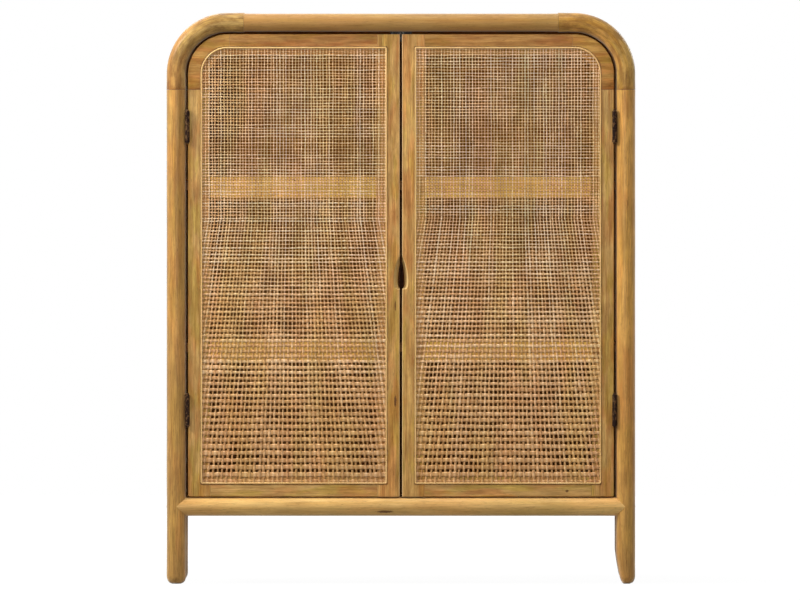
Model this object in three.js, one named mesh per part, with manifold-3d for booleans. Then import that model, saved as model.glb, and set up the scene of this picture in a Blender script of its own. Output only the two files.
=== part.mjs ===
// A two-door rattan record cabinet, in millimetres: +Z up, front towards -Y, origin on the floor under its
// middle. Round poles make an upright frame on four legs. Panels close its sides, top, bottom and back, two
// shelves divide it, and two inset doors with cane webbing hang on butt hinges.

import * as THREE from "three";
import { mergeVertices } from "three/addons/utils/BufferGeometryUtils.js";
import Module from "manifold-3d";

const wasm = await Module();
wasm.setup();

// Overall size
const CABINET_WIDTH = 1000;
const CABINET_HEIGHT = 1218;
const CABINET_DEPTH = 400;

// Poles of the frame
const POST_DIAMETER = 42;
const TOP_POLE_DIAMETER = 39;
const BOTTOM_POLE_DIAMETER = 40;
const BOTTOM_POLE_HEIGHT = 162;
const FOOT_ROUNDING = 5;
const BEND_RADIUS = 109;
const BEND_LEG = 34;

// Clearances
const FIT_GAP = 0.3;
const DOOR_GAP = 4;
const MEETING_GAP = 5;
const OVERRUN = 10;

// Panels and shelves
const SIDE_PANEL_THICKNESS = 12;
const SIDE_WEBBING_THICKNESS = 1.5;
const TOP_PANEL_THICKNESS = 12;
const FLOOR_PANEL_THICKNESS = 15;
const FLOOR_TOP_HEIGHT = 175;
const BACK_PANEL_THICKNESS = 6;
const SHELF_THICKNESS = 18;
const SHELF_TOP_ABOVE_RAIL_MIDDLE = 13;
const SHELF_FRONT_SETBACK = 4;
const CLEAT_WIDTH = 15;
const CLEAT_HEIGHT = 20;
const CLEAT_END_SETBACK = 8;

// Door frames
const DOOR_THICKNESS = 22;
const DOOR_SETBACK = 9;
const HINGE_STILE_WIDTH = 46;
const MEETING_STILE_WIDTH = 48;
const TOP_RAIL_HEIGHT = 46;
const BOTTOM_RAIL_HEIGHT = 44;
const CROSS_RAIL_HEIGHT = 45;
const LOWER_CROSS_RAIL_MIDDLE = 500;
const UPPER_CROSS_RAIL_MIDDLE = 845;
const CORNER_BLOCK_LEG = 34;
const CORNER_BLOCK_TOP_LEG = 4;
const EDGE_ROUNDING = 1.5;
const FRAME_CORNER_RADIUS = 3;

// Webbing and its bead
const BORDER_WIDTH = 25;
const REBATE_DEPTH = 2.4;
const REBATE_CORNER_RADIUS = 4;
const WEBBING_THICKNESS = 1.6;
const BEAD_WIDTH = 4.5;
const BEAD_HEIGHT = 1.8;
const BEAD_CHAMFER = 0.8;

// Finger pull
const PULL_WIDEST_HEIGHT = 648;
const PULL_SHIFT = 1.5;
const PULL_HOLE_WIDTH = 14;
const PULL_HOLE_RISE = 36;
const PULL_HOLE_DROP = 14;
const PULL_FLARE = 9;
const PULL_FLARE_DEPTH = 19;

// Hinges
const HINGE_HEIGHT = 67;
const LOWER_HINGE_RISE = 184;
const UPPER_HINGE_DROP = 197;
const KNUCKLE_DIAMETER = 10;
const KNUCKLE_COUNT = 5;
const KNUCKLE_CLEARANCE = 0.4;
const PIN_DIAMETER = 3;
const PIN_CLEARANCE = 0.3;
const PIN_TIP_DIAMETER = 6;
const PIN_TIP_HEIGHT = 3;
const LEAF_THICKNESS = 1.6;
const LEAF_DEPTH = 18;
const LEAF_INSET = 0.2;
const HINGE_AXIS_INSET = 1.5;
const HINGE_AXIS_FORWARD = 3;

// Catch and strike plates
const CATCH_WIDTH = 46;
const CATCH_HEIGHT = 16;
const CATCH_DEPTH = 18;
const CATCH_HANGER_DEPTH = 12;
const STRIKE_WIDTH = 15;
const STRIKE_HEIGHT = 13;
const STRIKE_THICKNESS = 1.5;
const STRIKE_EDGE_DISTANCE = 3;
const STRIKE_TOP_DISTANCE = 2;

// Fineness of the faceted curves
const POLE_SIDES = 24;
const BEND_STEPS = 13;
const ARC_STEPS = 5;
const FOOT_STEPS = 3;
const KNUCKLE_SIDES = 16;
const PULL_CURVE_STEPS = 6;

// Places that follow from these sizes
const POST_RADIUS = POST_DIAMETER / 2;
const POST_X = CABINET_WIDTH / 2 - POST_RADIUS;
const POST_Y = CABINET_DEPTH / 2 - POST_RADIUS;
const TOP_POLE_RADIUS = TOP_POLE_DIAMETER / 2;
const TOP_POLE_Y = CABINET_DEPTH / 2 - TOP_POLE_RADIUS;
const TOP_POLE_Z = CABINET_HEIGHT - POST_RADIUS;
const BOTTOM_POLE_RADIUS = BOTTOM_POLE_DIAMETER / 2;
const BOTTOM_POLE_X = CABINET_WIDTH / 2 - BOTTOM_POLE_RADIUS;
const BOTTOM_POLE_Y = CABINET_DEPTH / 2 - BOTTOM_POLE_RADIUS;
const BOTTOM_POLE_TOP = BOTTOM_POLE_HEIGHT + BOTTOM_POLE_RADIUS;
const BEND_CENTRE_X = POST_X - BEND_RADIUS;
const BEND_CENTRE_Z = TOP_POLE_Z - BEND_RADIUS;
const BEND_INNER_RADIUS = BEND_RADIUS - POST_RADIUS;
const BEND_JOINT_X = BEND_CENTRE_X - BEND_LEG;
const BEND_JOINT_Z = BEND_CENTRE_Z - BEND_LEG;
const POST_INNER_X = POST_X - POST_RADIUS;
const PANEL_HALF_DEPTH = POST_Y - POST_RADIUS - FIT_GAP;
const SIDE_PANEL_INNER_X = POST_X - SIDE_PANEL_THICKNESS / 2;
const TOP_PANEL_TOP = TOP_POLE_Z + TOP_PANEL_THICKNESS / 2;
const BACK_PANEL_FRONT_Y = POST_Y - BACK_PANEL_THICKNESS / 2;
const DOOR_FRONT_Y = DOOR_SETBACK - CABINET_DEPTH / 2;
const DOOR_BACK_Y = DOOR_FRONT_Y + DOOR_THICKNESS;
const DOOR_OUTER_X = POST_INNER_X - DOOR_GAP;
const DOOR_INNER_X = MEETING_GAP / 2;
const DOOR_TOP = BEND_CENTRE_Z + BEND_INNER_RADIUS - DOOR_GAP;
const DOOR_BOTTOM = BOTTOM_POLE_TOP + DOOR_GAP;
const REBATE_FLOOR_Y = DOOR_FRONT_Y + REBATE_DEPTH;
const WEBBING_FRONT_Y = REBATE_FLOOR_Y - FIT_GAP - WEBBING_THICKNESS;
const HINGE_X = DOOR_OUTER_X + HINGE_AXIS_INSET;
const HINGE_Y = DOOR_FRONT_Y - HINGE_AXIS_FORWARD;
const KNUCKLE_RADIUS = KNUCKLE_DIAMETER / 2;

const SIDES = { left: -1, right: 1 };
const ENDS = { front: -1, rear: 1 };
const CROSS_RAIL_LEVELS = { lower: LOWER_CROSS_RAIL_MIDDLE, upper: UPPER_CROSS_RAIL_MIDDLE };
const HINGE_LEVELS = { lower: DOOR_BOTTOM + LOWER_HINGE_RISE, upper: DOOR_TOP - UPPER_HINGE_DROP };

const FINISHES = {
  pole: { color: 0xc9974f, roughness: 0.45 },
  bend: { color: 0xa9783c, roughness: 0.5 },
  frame: { color: 0xb48349, roughness: 0.5 },
  panel: { color: 0xa87b45, roughness: 0.6 },
  webbing: { color: 0xcfa873, roughness: 0.7 },
  bead: { color: 0xd9b27a, roughness: 0.5 },
  bronze: { color: 0x2c1f16, roughness: 0.4, metalness: 0.8 },
  steel: { color: 0x9a9894, roughness: 0.35, metalness: 0.9 },
};

const cabinet = new THREE.Group();

// A named mesh with a finish of its own.
function piece(name, geometry, finish) {
  const mesh = new THREE.Mesh(geometry, new THREE.MeshStandardMaterial(FINISHES[finish]));
  mesh.name = name;
  return mesh;
}

// A mesh as a solid in the cabinet's frame.
function solidOf(mesh) {
  mesh.updateWorldMatrix(true, false);
  const bare = mesh.geometry.clone().applyMatrix4(mesh.matrixWorld);
  bare.deleteAttribute("normal");
  bare.deleteAttribute("uv");
  const merged = mergeVertices(bare);
  const vertProperties = merged.attributes.position.array;
  const triVerts = new Uint32Array(merged.index.array);
  return new wasm.Manifold(new wasm.Mesh({ numProp: 3, vertProperties, triVerts }));
}

// Gives a mesh the shape of a solid that is in the cabinet's frame.
function reshape(mesh, solid) {
  const { numProp, vertProperties, triVerts } = solid.getMesh();
  const shaped = new THREE.BufferGeometry();
  shaped.setAttribute("position", new THREE.BufferAttribute(vertProperties, numProp));
  shaped.setIndex(new THREE.BufferAttribute(triVerts, 1));
  mesh.geometry = shaped.applyMatrix4(mesh.matrixWorld.clone().invert());
  mesh.geometry.computeVertexNormals();
  return mesh;
}

function cut(mesh, ...cutters) {
  return reshape(mesh, cutters.reduce((solid, cutter) => solid.subtract(solidOf(cutter)), solidOf(mesh)));
}

function join(mesh, ...additions) {
  return reshape(mesh, additions.reduce((solid, added) => solid.add(solidOf(added)), solidOf(mesh)));
}

function keep(mesh, region) {
  return reshape(mesh, solidOf(mesh).intersect(solidOf(region)));
}

// A box between two corners, given as [low, high] on each axis in either order.
function block(name, xs, ys, zs, finish) {
  const spans = [xs, ys, zs];
  const lengths = spans.map(([from, to]) => Math.abs(to - from));
  const mesh = piece(name, new THREE.BoxGeometry(...lengths), finish);
  mesh.position.set(...spans.map(([from, to]) => (from + to) / 2));
  return mesh;
}

// A plate with an outline in the XZ plane, whose back face lies at backY. Its edges may be rounded over.
function plate(name, outline, thickness, backY, finish, rounding = 0) {
  const geometry = new THREE.ExtrudeGeometry(outline, {
    depth: thickness - 2 * rounding,
    curveSegments: ARC_STEPS,
    bevelEnabled: rounding > 0,
    bevelThickness: rounding,
    bevelSize: rounding,
    bevelOffset: -rounding,
    bevelSegments: 1,
  });
  geometry.translate(0, 0, rounding);
  const mesh = piece(name, geometry, finish);
  mesh.rotation.x = Math.PI / 2;
  mesh.position.y = backY;
  return mesh;
}

// A round bar that stands on the XY plane.
function standingBar(name, radius, length, finish, sides = POLE_SIDES) {
  const mesh = piece(name, new THREE.CylinderGeometry(radius, radius, length, sides), finish);
  mesh.rotation.x = Math.PI / 2;
  mesh.position.z = length / 2;
  return mesh;
}

// A round bar along X or Y, centred on the cabinet's middle plane.
function lyingBar(name, radius, length, alongY, finish) {
  const mesh = piece(name, new THREE.CylinderGeometry(radius, radius, length, POLE_SIDES), finish);
  if (!alongY) mesh.rotation.z = Math.PI / 2;
  return mesh;
}

// A leg post, turned about its own axis, with a rounded foot.
function post(name, side, end) {
  const top = BEND_JOINT_Z - FIT_GAP;
  const profile = [new THREE.Vector2(0, 0)];
  for (let step = 0; step <= FOOT_STEPS; step += 1) {
    const angle = ((step / FOOT_STEPS) * Math.PI) / 2;
    const radius = POST_RADIUS - FOOT_ROUNDING + FOOT_ROUNDING * Math.sin(angle);
    profile.push(new THREE.Vector2(radius, FOOT_ROUNDING - FOOT_ROUNDING * Math.cos(angle)));
  }
  profile.push(new THREE.Vector2(POST_RADIUS, top));
  profile.push(new THREE.Vector2(0, top));
  const mesh = piece(name, new THREE.LatheGeometry(profile, POLE_SIDES), "pole");
  mesh.rotation.x = Math.PI / 2;
  mesh.position.set(side * POST_X, end * POST_Y, 0);
  return mesh;
}

// What a pole or shelf leaves free around a post.
function postClearance(side, end) {
  const mesh = standingBar("post_clearance", POST_RADIUS + FIT_GAP, CABINET_HEIGHT, "pole");
  mesh.position.x = side * POST_X;
  mesh.position.y = end * POST_Y;
  return mesh;
}

function allPostClearances() {
  return Object.values(SIDES).flatMap((side) => Object.values(ENDS).map((end) => postClearance(side, end)));
}

// The line of a bend: a straight leg, a quarter circle and a straight leg.
class BendLine extends THREE.Curve {
  constructor(side) {
    super();
    this.side = side;
    this.arcLength = (BEND_RADIUS * Math.PI) / 2;
  }

  getPoint(t, target = new THREE.Vector3()) {
    const along = t * (this.arcLength + 2 * BEND_LEG) - BEND_LEG;
    const turn = THREE.MathUtils.clamp(along / BEND_RADIUS, 0, Math.PI / 2);
    const before = Math.min(along, 0);
    const after = Math.max(along - this.arcLength, 0);
    const x = BEND_CENTRE_X + BEND_RADIUS * Math.cos(turn) - after;
    return target.set(this.side * x, 0, BEND_CENTRE_Z + BEND_RADIUS * Math.sin(turn) + before);
  }
}

function bend(name, side, end) {
  const section = new THREE.Shape().absarc(0, 0, POST_RADIUS, 0, 2 * Math.PI);
  const geometry = new THREE.ExtrudeGeometry(section, {
    steps: BEND_STEPS,
    curveSegments: POLE_SIDES / 2,
    extrudePath: new BendLine(side),
  });
  const mesh = piece(name, geometry, "bend");
  mesh.position.y = end * POST_Y;
  return mesh;
}

function topPole(name, end) {
  const mesh = lyingBar(name, TOP_POLE_RADIUS, 2 * (BEND_JOINT_X - FIT_GAP), false, "pole");
  mesh.position.set(0, end * TOP_POLE_Y, TOP_POLE_Z);
  return mesh;
}

// A bottom pole across the front or the rear, coped onto two posts.
function crossPole(name, end, radius = BOTTOM_POLE_RADIUS) {
  const mesh = lyingBar(name, radius, 2 * POST_X, false, "pole");
  mesh.position.set(0, end * BOTTOM_POLE_Y, BOTTOM_POLE_HEIGHT);
  return mesh;
}

// A bottom pole along one side, coped onto its posts and onto the front and rear poles beside them.
function sidePole(name, side) {
  const mesh = lyingBar(name, BOTTOM_POLE_RADIUS, 2 * POST_Y, true, "pole");
  mesh.position.set(side * BOTTOM_POLE_X, 0, BOTTOM_POLE_HEIGHT);
  const neighbours = Object.values(ENDS).map((end) =>
    crossPole("pole_clearance", end, BOTTOM_POLE_RADIUS + FIT_GAP),
  );
  return cut(mesh, ...allPostClearances(), ...neighbours);
}

function poleFrame() {
  const group = new THREE.Group();
  for (const [endName, end] of Object.entries(ENDS)) {
    for (const [sideName, side] of Object.entries(SIDES)) {
      const upright = post(`${endName}_${sideName}_post`, side, end);
      group.add(end === ENDS.front ? cut(upright, ...postMortises(side)) : upright);
      group.add(bend(`${endName}_${sideName}_bend`, side, end));
    }
    group.add(topPole(`${endName}_top_pole`, end));
    group.add(cut(crossPole(`${endName}_bottom_pole`, end), ...allPostClearances()));
  }
  for (const [sideName, side] of Object.entries(SIDES)) {
    group.add(sidePole(`${sideName}_bottom_pole`, side));
  }
  return group;
}

// The section of a side: upright between the posts, round the shoulder with the bends, and in to the top
// panel.
function sideSection(side, innerX, thickness) {
  const innerRadius = innerX - BEND_CENTRE_X;
  const outline = new THREE.Shape();
  outline.moveTo(innerX, BOTTOM_POLE_TOP + FIT_GAP);
  outline.lineTo(innerX + thickness, BOTTOM_POLE_TOP + FIT_GAP);
  outline.absarc(BEND_CENTRE_X, BEND_CENTRE_Z, innerRadius + thickness, 0, Math.PI / 2);
  outline.lineTo(BEND_JOINT_X, BEND_CENTRE_Z + innerRadius + thickness);
  outline.lineTo(BEND_JOINT_X, BEND_CENTRE_Z + innerRadius);
  outline.absarc(BEND_CENTRE_X, BEND_CENTRE_Z, innerRadius, Math.PI / 2, 0, true);
  return mirrored(outline, side);
}

// The same outline on the left or the right of the middle, run the same way round.
function mirrored(outline, side) {
  const points = outline.getPoints(ARC_STEPS).map(({ x, y }) => new THREE.Vector2(side * x, y));
  return new THREE.Shape(side < 0 ? points.reverse() : points);
}

function shell() {
  const group = new THREE.Group();
  for (const [sideName, side] of Object.entries(SIDES)) {
    const section = sideSection(side, SIDE_PANEL_INNER_X, SIDE_PANEL_THICKNESS);
    group.add(plate(`${sideName}_side_panel`, section, 2 * PANEL_HALF_DEPTH, PANEL_HALF_DEPTH, "panel"));
    const skinX = SIDE_PANEL_INNER_X + SIDE_PANEL_THICKNESS + FIT_GAP;
    const skin = sideSection(side, skinX, SIDE_WEBBING_THICKNESS);
    group.add(plate(`${sideName}_side_webbing`, skin, 2 * PANEL_HALF_DEPTH, PANEL_HALF_DEPTH, "webbing"));
  }
  const topHalfWidth = BEND_JOINT_X - FIT_GAP;
  const topHalfDepth = TOP_POLE_Y - TOP_POLE_RADIUS - FIT_GAP;
  const topHeights = [TOP_PANEL_TOP - TOP_PANEL_THICKNESS, TOP_PANEL_TOP];
  group.add(block("top_panel", spread(topHalfWidth), spread(topHalfDepth), topHeights, "panel"));
  const floorHalfWidth = BOTTOM_POLE_X - BOTTOM_POLE_RADIUS - FIT_GAP;
  const floorHalfDepth = BOTTOM_POLE_Y - BOTTOM_POLE_RADIUS - FIT_GAP;
  const floorHeights = [FLOOR_TOP_HEIGHT - FLOOR_PANEL_THICKNESS, FLOOR_TOP_HEIGHT];
  group.add(block("floor_panel", spread(floorHalfWidth), spread(floorHalfDepth), floorHeights, "panel"));
  const backY = BACK_PANEL_FRONT_Y + BACK_PANEL_THICKNESS;
  group.add(plate("back_panel", backOutline(), BACK_PANEL_THICKNESS, backY, "panel"));
  return group;
}

// A span of equal reach on both sides of the middle.
function spread(reach) {
  return [-reach, reach];
}

// The back fills the arch of the rear poles.
function backOutline() {
  const reach = POST_INNER_X - FIT_GAP;
  const radius = reach - BEND_CENTRE_X;
  const outline = new THREE.Shape();
  outline.moveTo(-reach, BOTTOM_POLE_TOP + FIT_GAP);
  outline.lineTo(reach, BOTTOM_POLE_TOP + FIT_GAP);
  outline.absarc(BEND_CENTRE_X, BEND_CENTRE_Z, radius, 0, Math.PI / 2);
  outline.absarc(-BEND_CENTRE_X, BEND_CENTRE_Z, radius, Math.PI / 2, Math.PI);
  return outline;
}

// A shelf between the side panels, notched round the four posts.
function shelf(name, top) {
  const reach = SIDE_PANEL_INNER_X - FIT_GAP;
  const depths = [DOOR_BACK_Y + SHELF_FRONT_SETBACK, BACK_PANEL_FRONT_Y - FIT_GAP];
  const board = block(name, spread(reach), depths, [top - SHELF_THICKNESS, top], "panel");
  return cut(board, ...allPostClearances());
}

function cleat(name, side, shelfTop) {
  const outer = SIDE_PANEL_INNER_X - FIT_GAP;
  const top = shelfTop - SHELF_THICKNESS - FIT_GAP;
  const widths = [side * (outer - CLEAT_WIDTH), side * outer];
  const depths = spread(PANEL_HALF_DEPTH - CLEAT_END_SETBACK);
  return block(name, widths, depths, [top - CLEAT_HEIGHT, top], "panel");
}

function shelves() {
  const group = new THREE.Group();
  for (const [level, railMiddle] of Object.entries(CROSS_RAIL_LEVELS)) {
    const top = railMiddle + SHELF_TOP_ABOVE_RAIL_MIDDLE;
    group.add(shelf(`${level}_shelf`, top));
    for (const [sideName, side] of Object.entries(SIDES)) {
      group.add(cleat(`${sideName}_${level}_shelf_cleat`, side, top));
    }
  }
  return group;
}

// The X span of a hinge leaf. The door's leaf is flush with the stile's edge, the post's with the knuckles.
function leafSpan(side, onPost) {
  const outer = onPost ? HINGE_X + KNUCKLE_RADIUS - LEAF_INSET : DOOR_OUTER_X;
  return [side * (outer - LEAF_THICKNESS), side * outer];
}

// The pocket that a leaf lies in, open towards the gap between door and post.
function leafMortise(side, middle, onPost) {
  const [gapSide, woodSide] = onPost ? [-OVERRUN, FIT_GAP] : [OVERRUN, -FIT_GAP];
  const [low, high] = leafSpan(side, onPost).map(Math.abs);
  const xs = onPost ? [low + gapSide, high + woodSide] : [low + woodSide, high + gapSide];
  const ys = [HINGE_Y, HINGE_Y + LEAF_DEPTH + FIT_GAP + KNUCKLE_RADIUS];
  const halfHeight = HINGE_HEIGHT / 2 + FIT_GAP;
  const heights = [middle - halfHeight, middle + halfHeight];
  return block("leaf_mortise", xs.map((x) => side * x), ys, heights, "pole");
}

function postMortises(side) {
  return Object.values(HINGE_LEVELS).map((middle) => leafMortise(side, middle, true));
}

// What a door stile leaves free for its two hinges: a pocket for the leaf and a round channel for the
// knuckles.
function stileMortises(side) {
  return Object.values(HINGE_LEVELS).flatMap((middle) => [
    leafMortise(side, middle, false),
    hingeBar(side, middle, KNUCKLE_RADIUS + KNUCKLE_CLEARANCE, HINGE_HEIGHT + 2 * FIT_GAP),
  ]);
}

// A round bar on a hinge's axis, centred on a height.
function hingeBar(side, middle, radius, length) {
  const mesh = standingBar("hinge_bar", radius, length, "bronze", KNUCKLE_SIDES);
  mesh.position.set(side * HINGE_X, HINGE_Y, middle);
  return mesh;
}

// One leaf with its knuckles: the post's leaf has the first, third and last, the door's leaf the ones
// between.
function hingeLeaf(name, side, middle, onPost) {
  const pitch = HINGE_HEIGHT / KNUCKLE_COUNT;
  const halfHeight = HINGE_HEIGHT / 2;
  const heights = [middle - halfHeight, middle + halfHeight];
  const depths = [HINGE_Y, HINGE_Y + LEAF_DEPTH + KNUCKLE_RADIUS];
  let leaf = block(name, leafSpan(side, onPost), depths, heights, "bronze");
  for (let index = 0; index < KNUCKLE_COUNT; index += 1) {
    const height = middle - halfHeight + pitch * (index + 1 / 2);
    const own = (index % 2 === 0) === onPost;
    const reach = own ? KNUCKLE_RADIUS : KNUCKLE_RADIUS + KNUCKLE_CLEARANCE;
    const length = own ? pitch - KNUCKLE_CLEARANCE : pitch + KNUCKLE_CLEARANCE;
    const knuckle = hingeBar(side, height, reach, length);
    leaf = own ? join(leaf, knuckle) : cut(leaf, knuckle);
  }
  return cut(leaf, hingeBar(side, middle, PIN_DIAMETER / 2 + PIN_CLEARANCE, HINGE_HEIGHT + OVERRUN));
}

// A pin with a domed tip above and below the knuckles.
function hingePin(name, side, middle) {
  const shank = HINGE_HEIGHT / 2 + FIT_GAP;
  const pinRadius = PIN_DIAMETER / 2;
  const tipRadius = PIN_TIP_DIAMETER / 2;
  const domeShare = 0.6;
  const half = [
    new THREE.Vector2(pinRadius, shank),
    new THREE.Vector2(tipRadius, shank),
    new THREE.Vector2(tipRadius, shank + PIN_TIP_HEIGHT * (1 - domeShare)),
    new THREE.Vector2(tipRadius * domeShare, shank + PIN_TIP_HEIGHT),
    new THREE.Vector2(0, shank + PIN_TIP_HEIGHT),
  ];
  const lower = half.map(({ x, y }) => new THREE.Vector2(x, -y)).reverse();
  const mesh = piece(name, new THREE.LatheGeometry([...lower, ...half], KNUCKLE_SIDES), "bronze");
  mesh.rotation.x = Math.PI / 2;
  mesh.position.set(side * HINGE_X, HINGE_Y, middle);
  return mesh;
}

// The leaves and pins that stay on the posts.
function postHinges() {
  const group = new THREE.Group();
  for (const [sideName, side] of Object.entries(SIDES)) {
    for (const [level, middle] of Object.entries(HINGE_LEVELS)) {
      group.add(hingeLeaf(`${sideName}_${level}_hinge_post_leaf`, side, middle, true));
      group.add(hingePin(`${sideName}_${level}_hinge_pin`, side, middle));
    }
  }
  return group;
}

// The catch hangs from the top panel, and its hanger passes behind the front top pole.
function magneticCatch() {
  const top = DOOR_TOP;
  const front = DOOR_BACK_Y + STRIKE_THICKNESS + 2 * FIT_GAP;
  const back = front + CATCH_DEPTH;
  const bottom = top - CATCH_HEIGHT;
  const xs = spread(CATCH_WIDTH / 2);
  const body = block("magnetic_catch", xs, [front, back], [bottom, top], "steel");
  const hangerTop = TOP_PANEL_TOP - TOP_PANEL_THICKNESS - FIT_GAP;
  return join(body, block("hanger", xs, [back - CATCH_HANGER_DEPTH, back], [bottom, hangerTop], "steel"));
}

// A door outline in the XZ plane, drawn back from the door's edges. Its rounded corner keeps the bend's
// centre.
function doorOutline(side, { hinge, meeting, top, bottom, rounding }) {
  const outerX = DOOR_OUTER_X - hinge;
  const innerX = DOOR_INNER_X + meeting;
  const topZ = DOOR_TOP - top;
  const bottomZ = DOOR_BOTTOM + bottom;
  const outline = new THREE.Shape();
  outline.absarc(outerX - rounding, bottomZ + rounding, rounding, -Math.PI / 2, 0);
  outline.absarc(BEND_CENTRE_X, BEND_CENTRE_Z, outerX - BEND_CENTRE_X, 0, Math.PI / 2);
  outline.absarc(innerX + rounding, topZ - rounding, rounding, Math.PI / 2, Math.PI);
  outline.absarc(innerX + rounding, bottomZ + rounding, rounding, Math.PI, (3 * Math.PI) / 2);
  return mirrored(outline, side);
}

// A door outline drawn back by the same distance all round.
function evenOutline(side, distance, rounding) {
  const drawnBack = { hinge: distance, meeting: distance, top: distance, bottom: distance };
  return doorOutline(side, { ...drawnBack, rounding });
}

// The whole frame of a door before it is divided into stiles and rails.
function doorBlank(name, side) {
  const outline = evenOutline(side, 0, FRAME_CORNER_RADIUS);
  const opening = doorOutline(side, {
    hinge: HINGE_STILE_WIDTH,
    meeting: MEETING_STILE_WIDTH,
    top: TOP_RAIL_HEIGHT,
    bottom: BOTTOM_RAIL_HEIGHT,
    rounding: FRAME_CORNER_RADIUS,
  });
  outline.holes.push(opening);
  return plate(name, outline, DOOR_THICKNESS, DOOR_BACK_Y, "frame", EDGE_ROUNDING);
}

// The step in the frame's front that holds the webbing and its bead.
function rebate(side) {
  const outline = evenOutline(side, BORDER_WIDTH, REBATE_CORNER_RADIUS);
  return plate("rebate", outline, REBATE_DEPTH + OVERRUN, REBATE_FLOOR_Y, "frame");
}

// The finger pull: a teardrop hole through both meeting stiles, flared towards the front.
function fingerPull() {
  const reach = PULL_HOLE_WIDTH / 2;
  const [shoulderShare, shoulderRiseShare, chinShare] = [0.9, 0.55, 0.75];
  const shoulder = [reach * shoulderShare, PULL_HOLE_RISE * shoulderRiseShare];
  const chin = reach * chinShare;
  const outline = new THREE.Shape();
  outline.moveTo(0, PULL_HOLE_RISE);
  outline.quadraticCurveTo(-shoulder[0], shoulder[1], -reach, 0);
  outline.bezierCurveTo(-reach, -PULL_HOLE_DROP, -chin, -PULL_HOLE_DROP, 0, -PULL_HOLE_DROP);
  outline.bezierCurveTo(chin, -PULL_HOLE_DROP, reach, -PULL_HOLE_DROP, reach, 0);
  outline.quadraticCurveTo(shoulder[0], shoulder[1], 0, PULL_HOLE_RISE);
  const flare = new THREE.ExtrudeGeometry(outline, {
    depth: OVERRUN,
    curveSegments: PULL_CURVE_STEPS,
    bevelThickness: PULL_FLARE_DEPTH,
    bevelSize: PULL_FLARE,
    bevelSegments: 2,
  });
  const mesh = piece("finger_pull", flare, "frame");
  mesh.rotation.x = Math.PI / 2;
  mesh.position.set(PULL_SHIFT, DOOR_FRONT_Y, PULL_WIDEST_HEIGHT);
  const through = new THREE.ExtrudeGeometry(outline, {
    depth: DOOR_THICKNESS + 2 * OVERRUN,
    curveSegments: PULL_CURVE_STEPS,
    bevelEnabled: false,
  });
  const hole = piece("pull_hole", through, "frame");
  hole.rotation.x = Math.PI / 2;
  hole.position.set(PULL_SHIFT, DOOR_BACK_Y + OVERRUN, PULL_WIDEST_HEIGHT);
  return join(mesh, hole);
}

// Where the members of a door frame meet, as regions of the blank.
function memberRegions(side) {
  const stileX = DOOR_OUTER_X - HINGE_STILE_WIDTH;
  const meetingX = DOOR_INNER_X + MEETING_STILE_WIDTH;
  const cornerX = BEND_CENTRE_X - CORNER_BLOCK_TOP_LEG;
  const cornerZ = BEND_CENTRE_Z - CORNER_BLOCK_LEG;
  const railZ = DOOR_BOTTOM + BOTTOM_RAIL_HEIGHT + EDGE_ROUNDING;
  const beyondX = DOOR_OUTER_X + OVERRUN;
  const beyondTop = DOOR_TOP + OVERRUN;
  const beyondBottom = DOOR_BOTTOM - OVERRUN;
  return {
    hinge_stile: [[stileX - EDGE_ROUNDING, beyondX], [beyondBottom, cornerZ - FIT_GAP]],
    meeting_stile: [[DOOR_INNER_X - OVERRUN, meetingX], [beyondBottom, beyondTop]],
    top_rail: [[meetingX + FIT_GAP, cornerX - FIT_GAP], [cornerZ, beyondTop]],
    bottom_rail: [[meetingX + FIT_GAP, stileX - EDGE_ROUNDING - FIT_GAP], [beyondBottom, railZ]],
    corner_block: [[cornerX, beyondX], [cornerZ, beyondTop]],
  };
}

// The stiles, rails and corner block of one door, parted from the blank by thin glue lines.
function doorFrame(sideName, side) {
  const depths = [DOOR_FRONT_Y - OVERRUN, DOOR_BACK_Y + OVERRUN];
  const cuts = [rebate(side), fingerPull(), ...stileMortises(side)];
  return Object.entries(memberRegions(side)).map(([member, [xs, zs]]) => {
    const blank = cut(doorBlank(`${sideName}_door_${member}`, side), ...cuts);
    return keep(blank, block("region", xs.map((x) => side * x), depths, zs, "frame"));
  });
}

// A rail behind the webbing, between the stiles.
function crossRail(name, side, middle) {
  const inner = DOOR_INNER_X + MEETING_STILE_WIDTH + FIT_GAP;
  const outer = DOOR_OUTER_X - HINGE_STILE_WIDTH - EDGE_ROUNDING - FIT_GAP;
  const heights = [middle - CROSS_RAIL_HEIGHT / 2, middle + CROSS_RAIL_HEIGHT / 2];
  return block(name, [side * inner, side * outer], [REBATE_FLOOR_Y, DOOR_BACK_Y], heights, "frame");
}

function webbing(name, side) {
  const outline = evenOutline(side, BORDER_WIDTH + FIT_GAP, REBATE_CORNER_RADIUS - FIT_GAP);
  return plate(name, outline, WEBBING_THICKNESS, REBATE_FLOOR_Y - FIT_GAP, "webbing");
}

// The bead lies on the webbing's edge, in the corner of the rebate.
function bead(name, side) {
  const outer = BORDER_WIDTH + FIT_GAP;
  const outline = evenOutline(side, outer, REBATE_CORNER_RADIUS - FIT_GAP);
  outline.holes.push(evenOutline(side, outer + BEAD_WIDTH, REBATE_CORNER_RADIUS - FIT_GAP));
  return plate(name, outline, BEAD_HEIGHT, WEBBING_FRONT_Y - FIT_GAP, "bead", BEAD_CHAMFER);
}

function strikePlate(name, side) {
  const inner = DOOR_INNER_X + STRIKE_EDGE_DISTANCE;
  const xs = [side * inner, side * (inner + STRIKE_WIDTH)];
  const ys = [DOOR_BACK_Y + FIT_GAP, DOOR_BACK_Y + FIT_GAP + STRIKE_THICKNESS];
  const top = DOOR_TOP - STRIKE_TOP_DISTANCE;
  return block(name, xs, ys, [top - STRIKE_HEIGHT, top], "steel");
}

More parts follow.
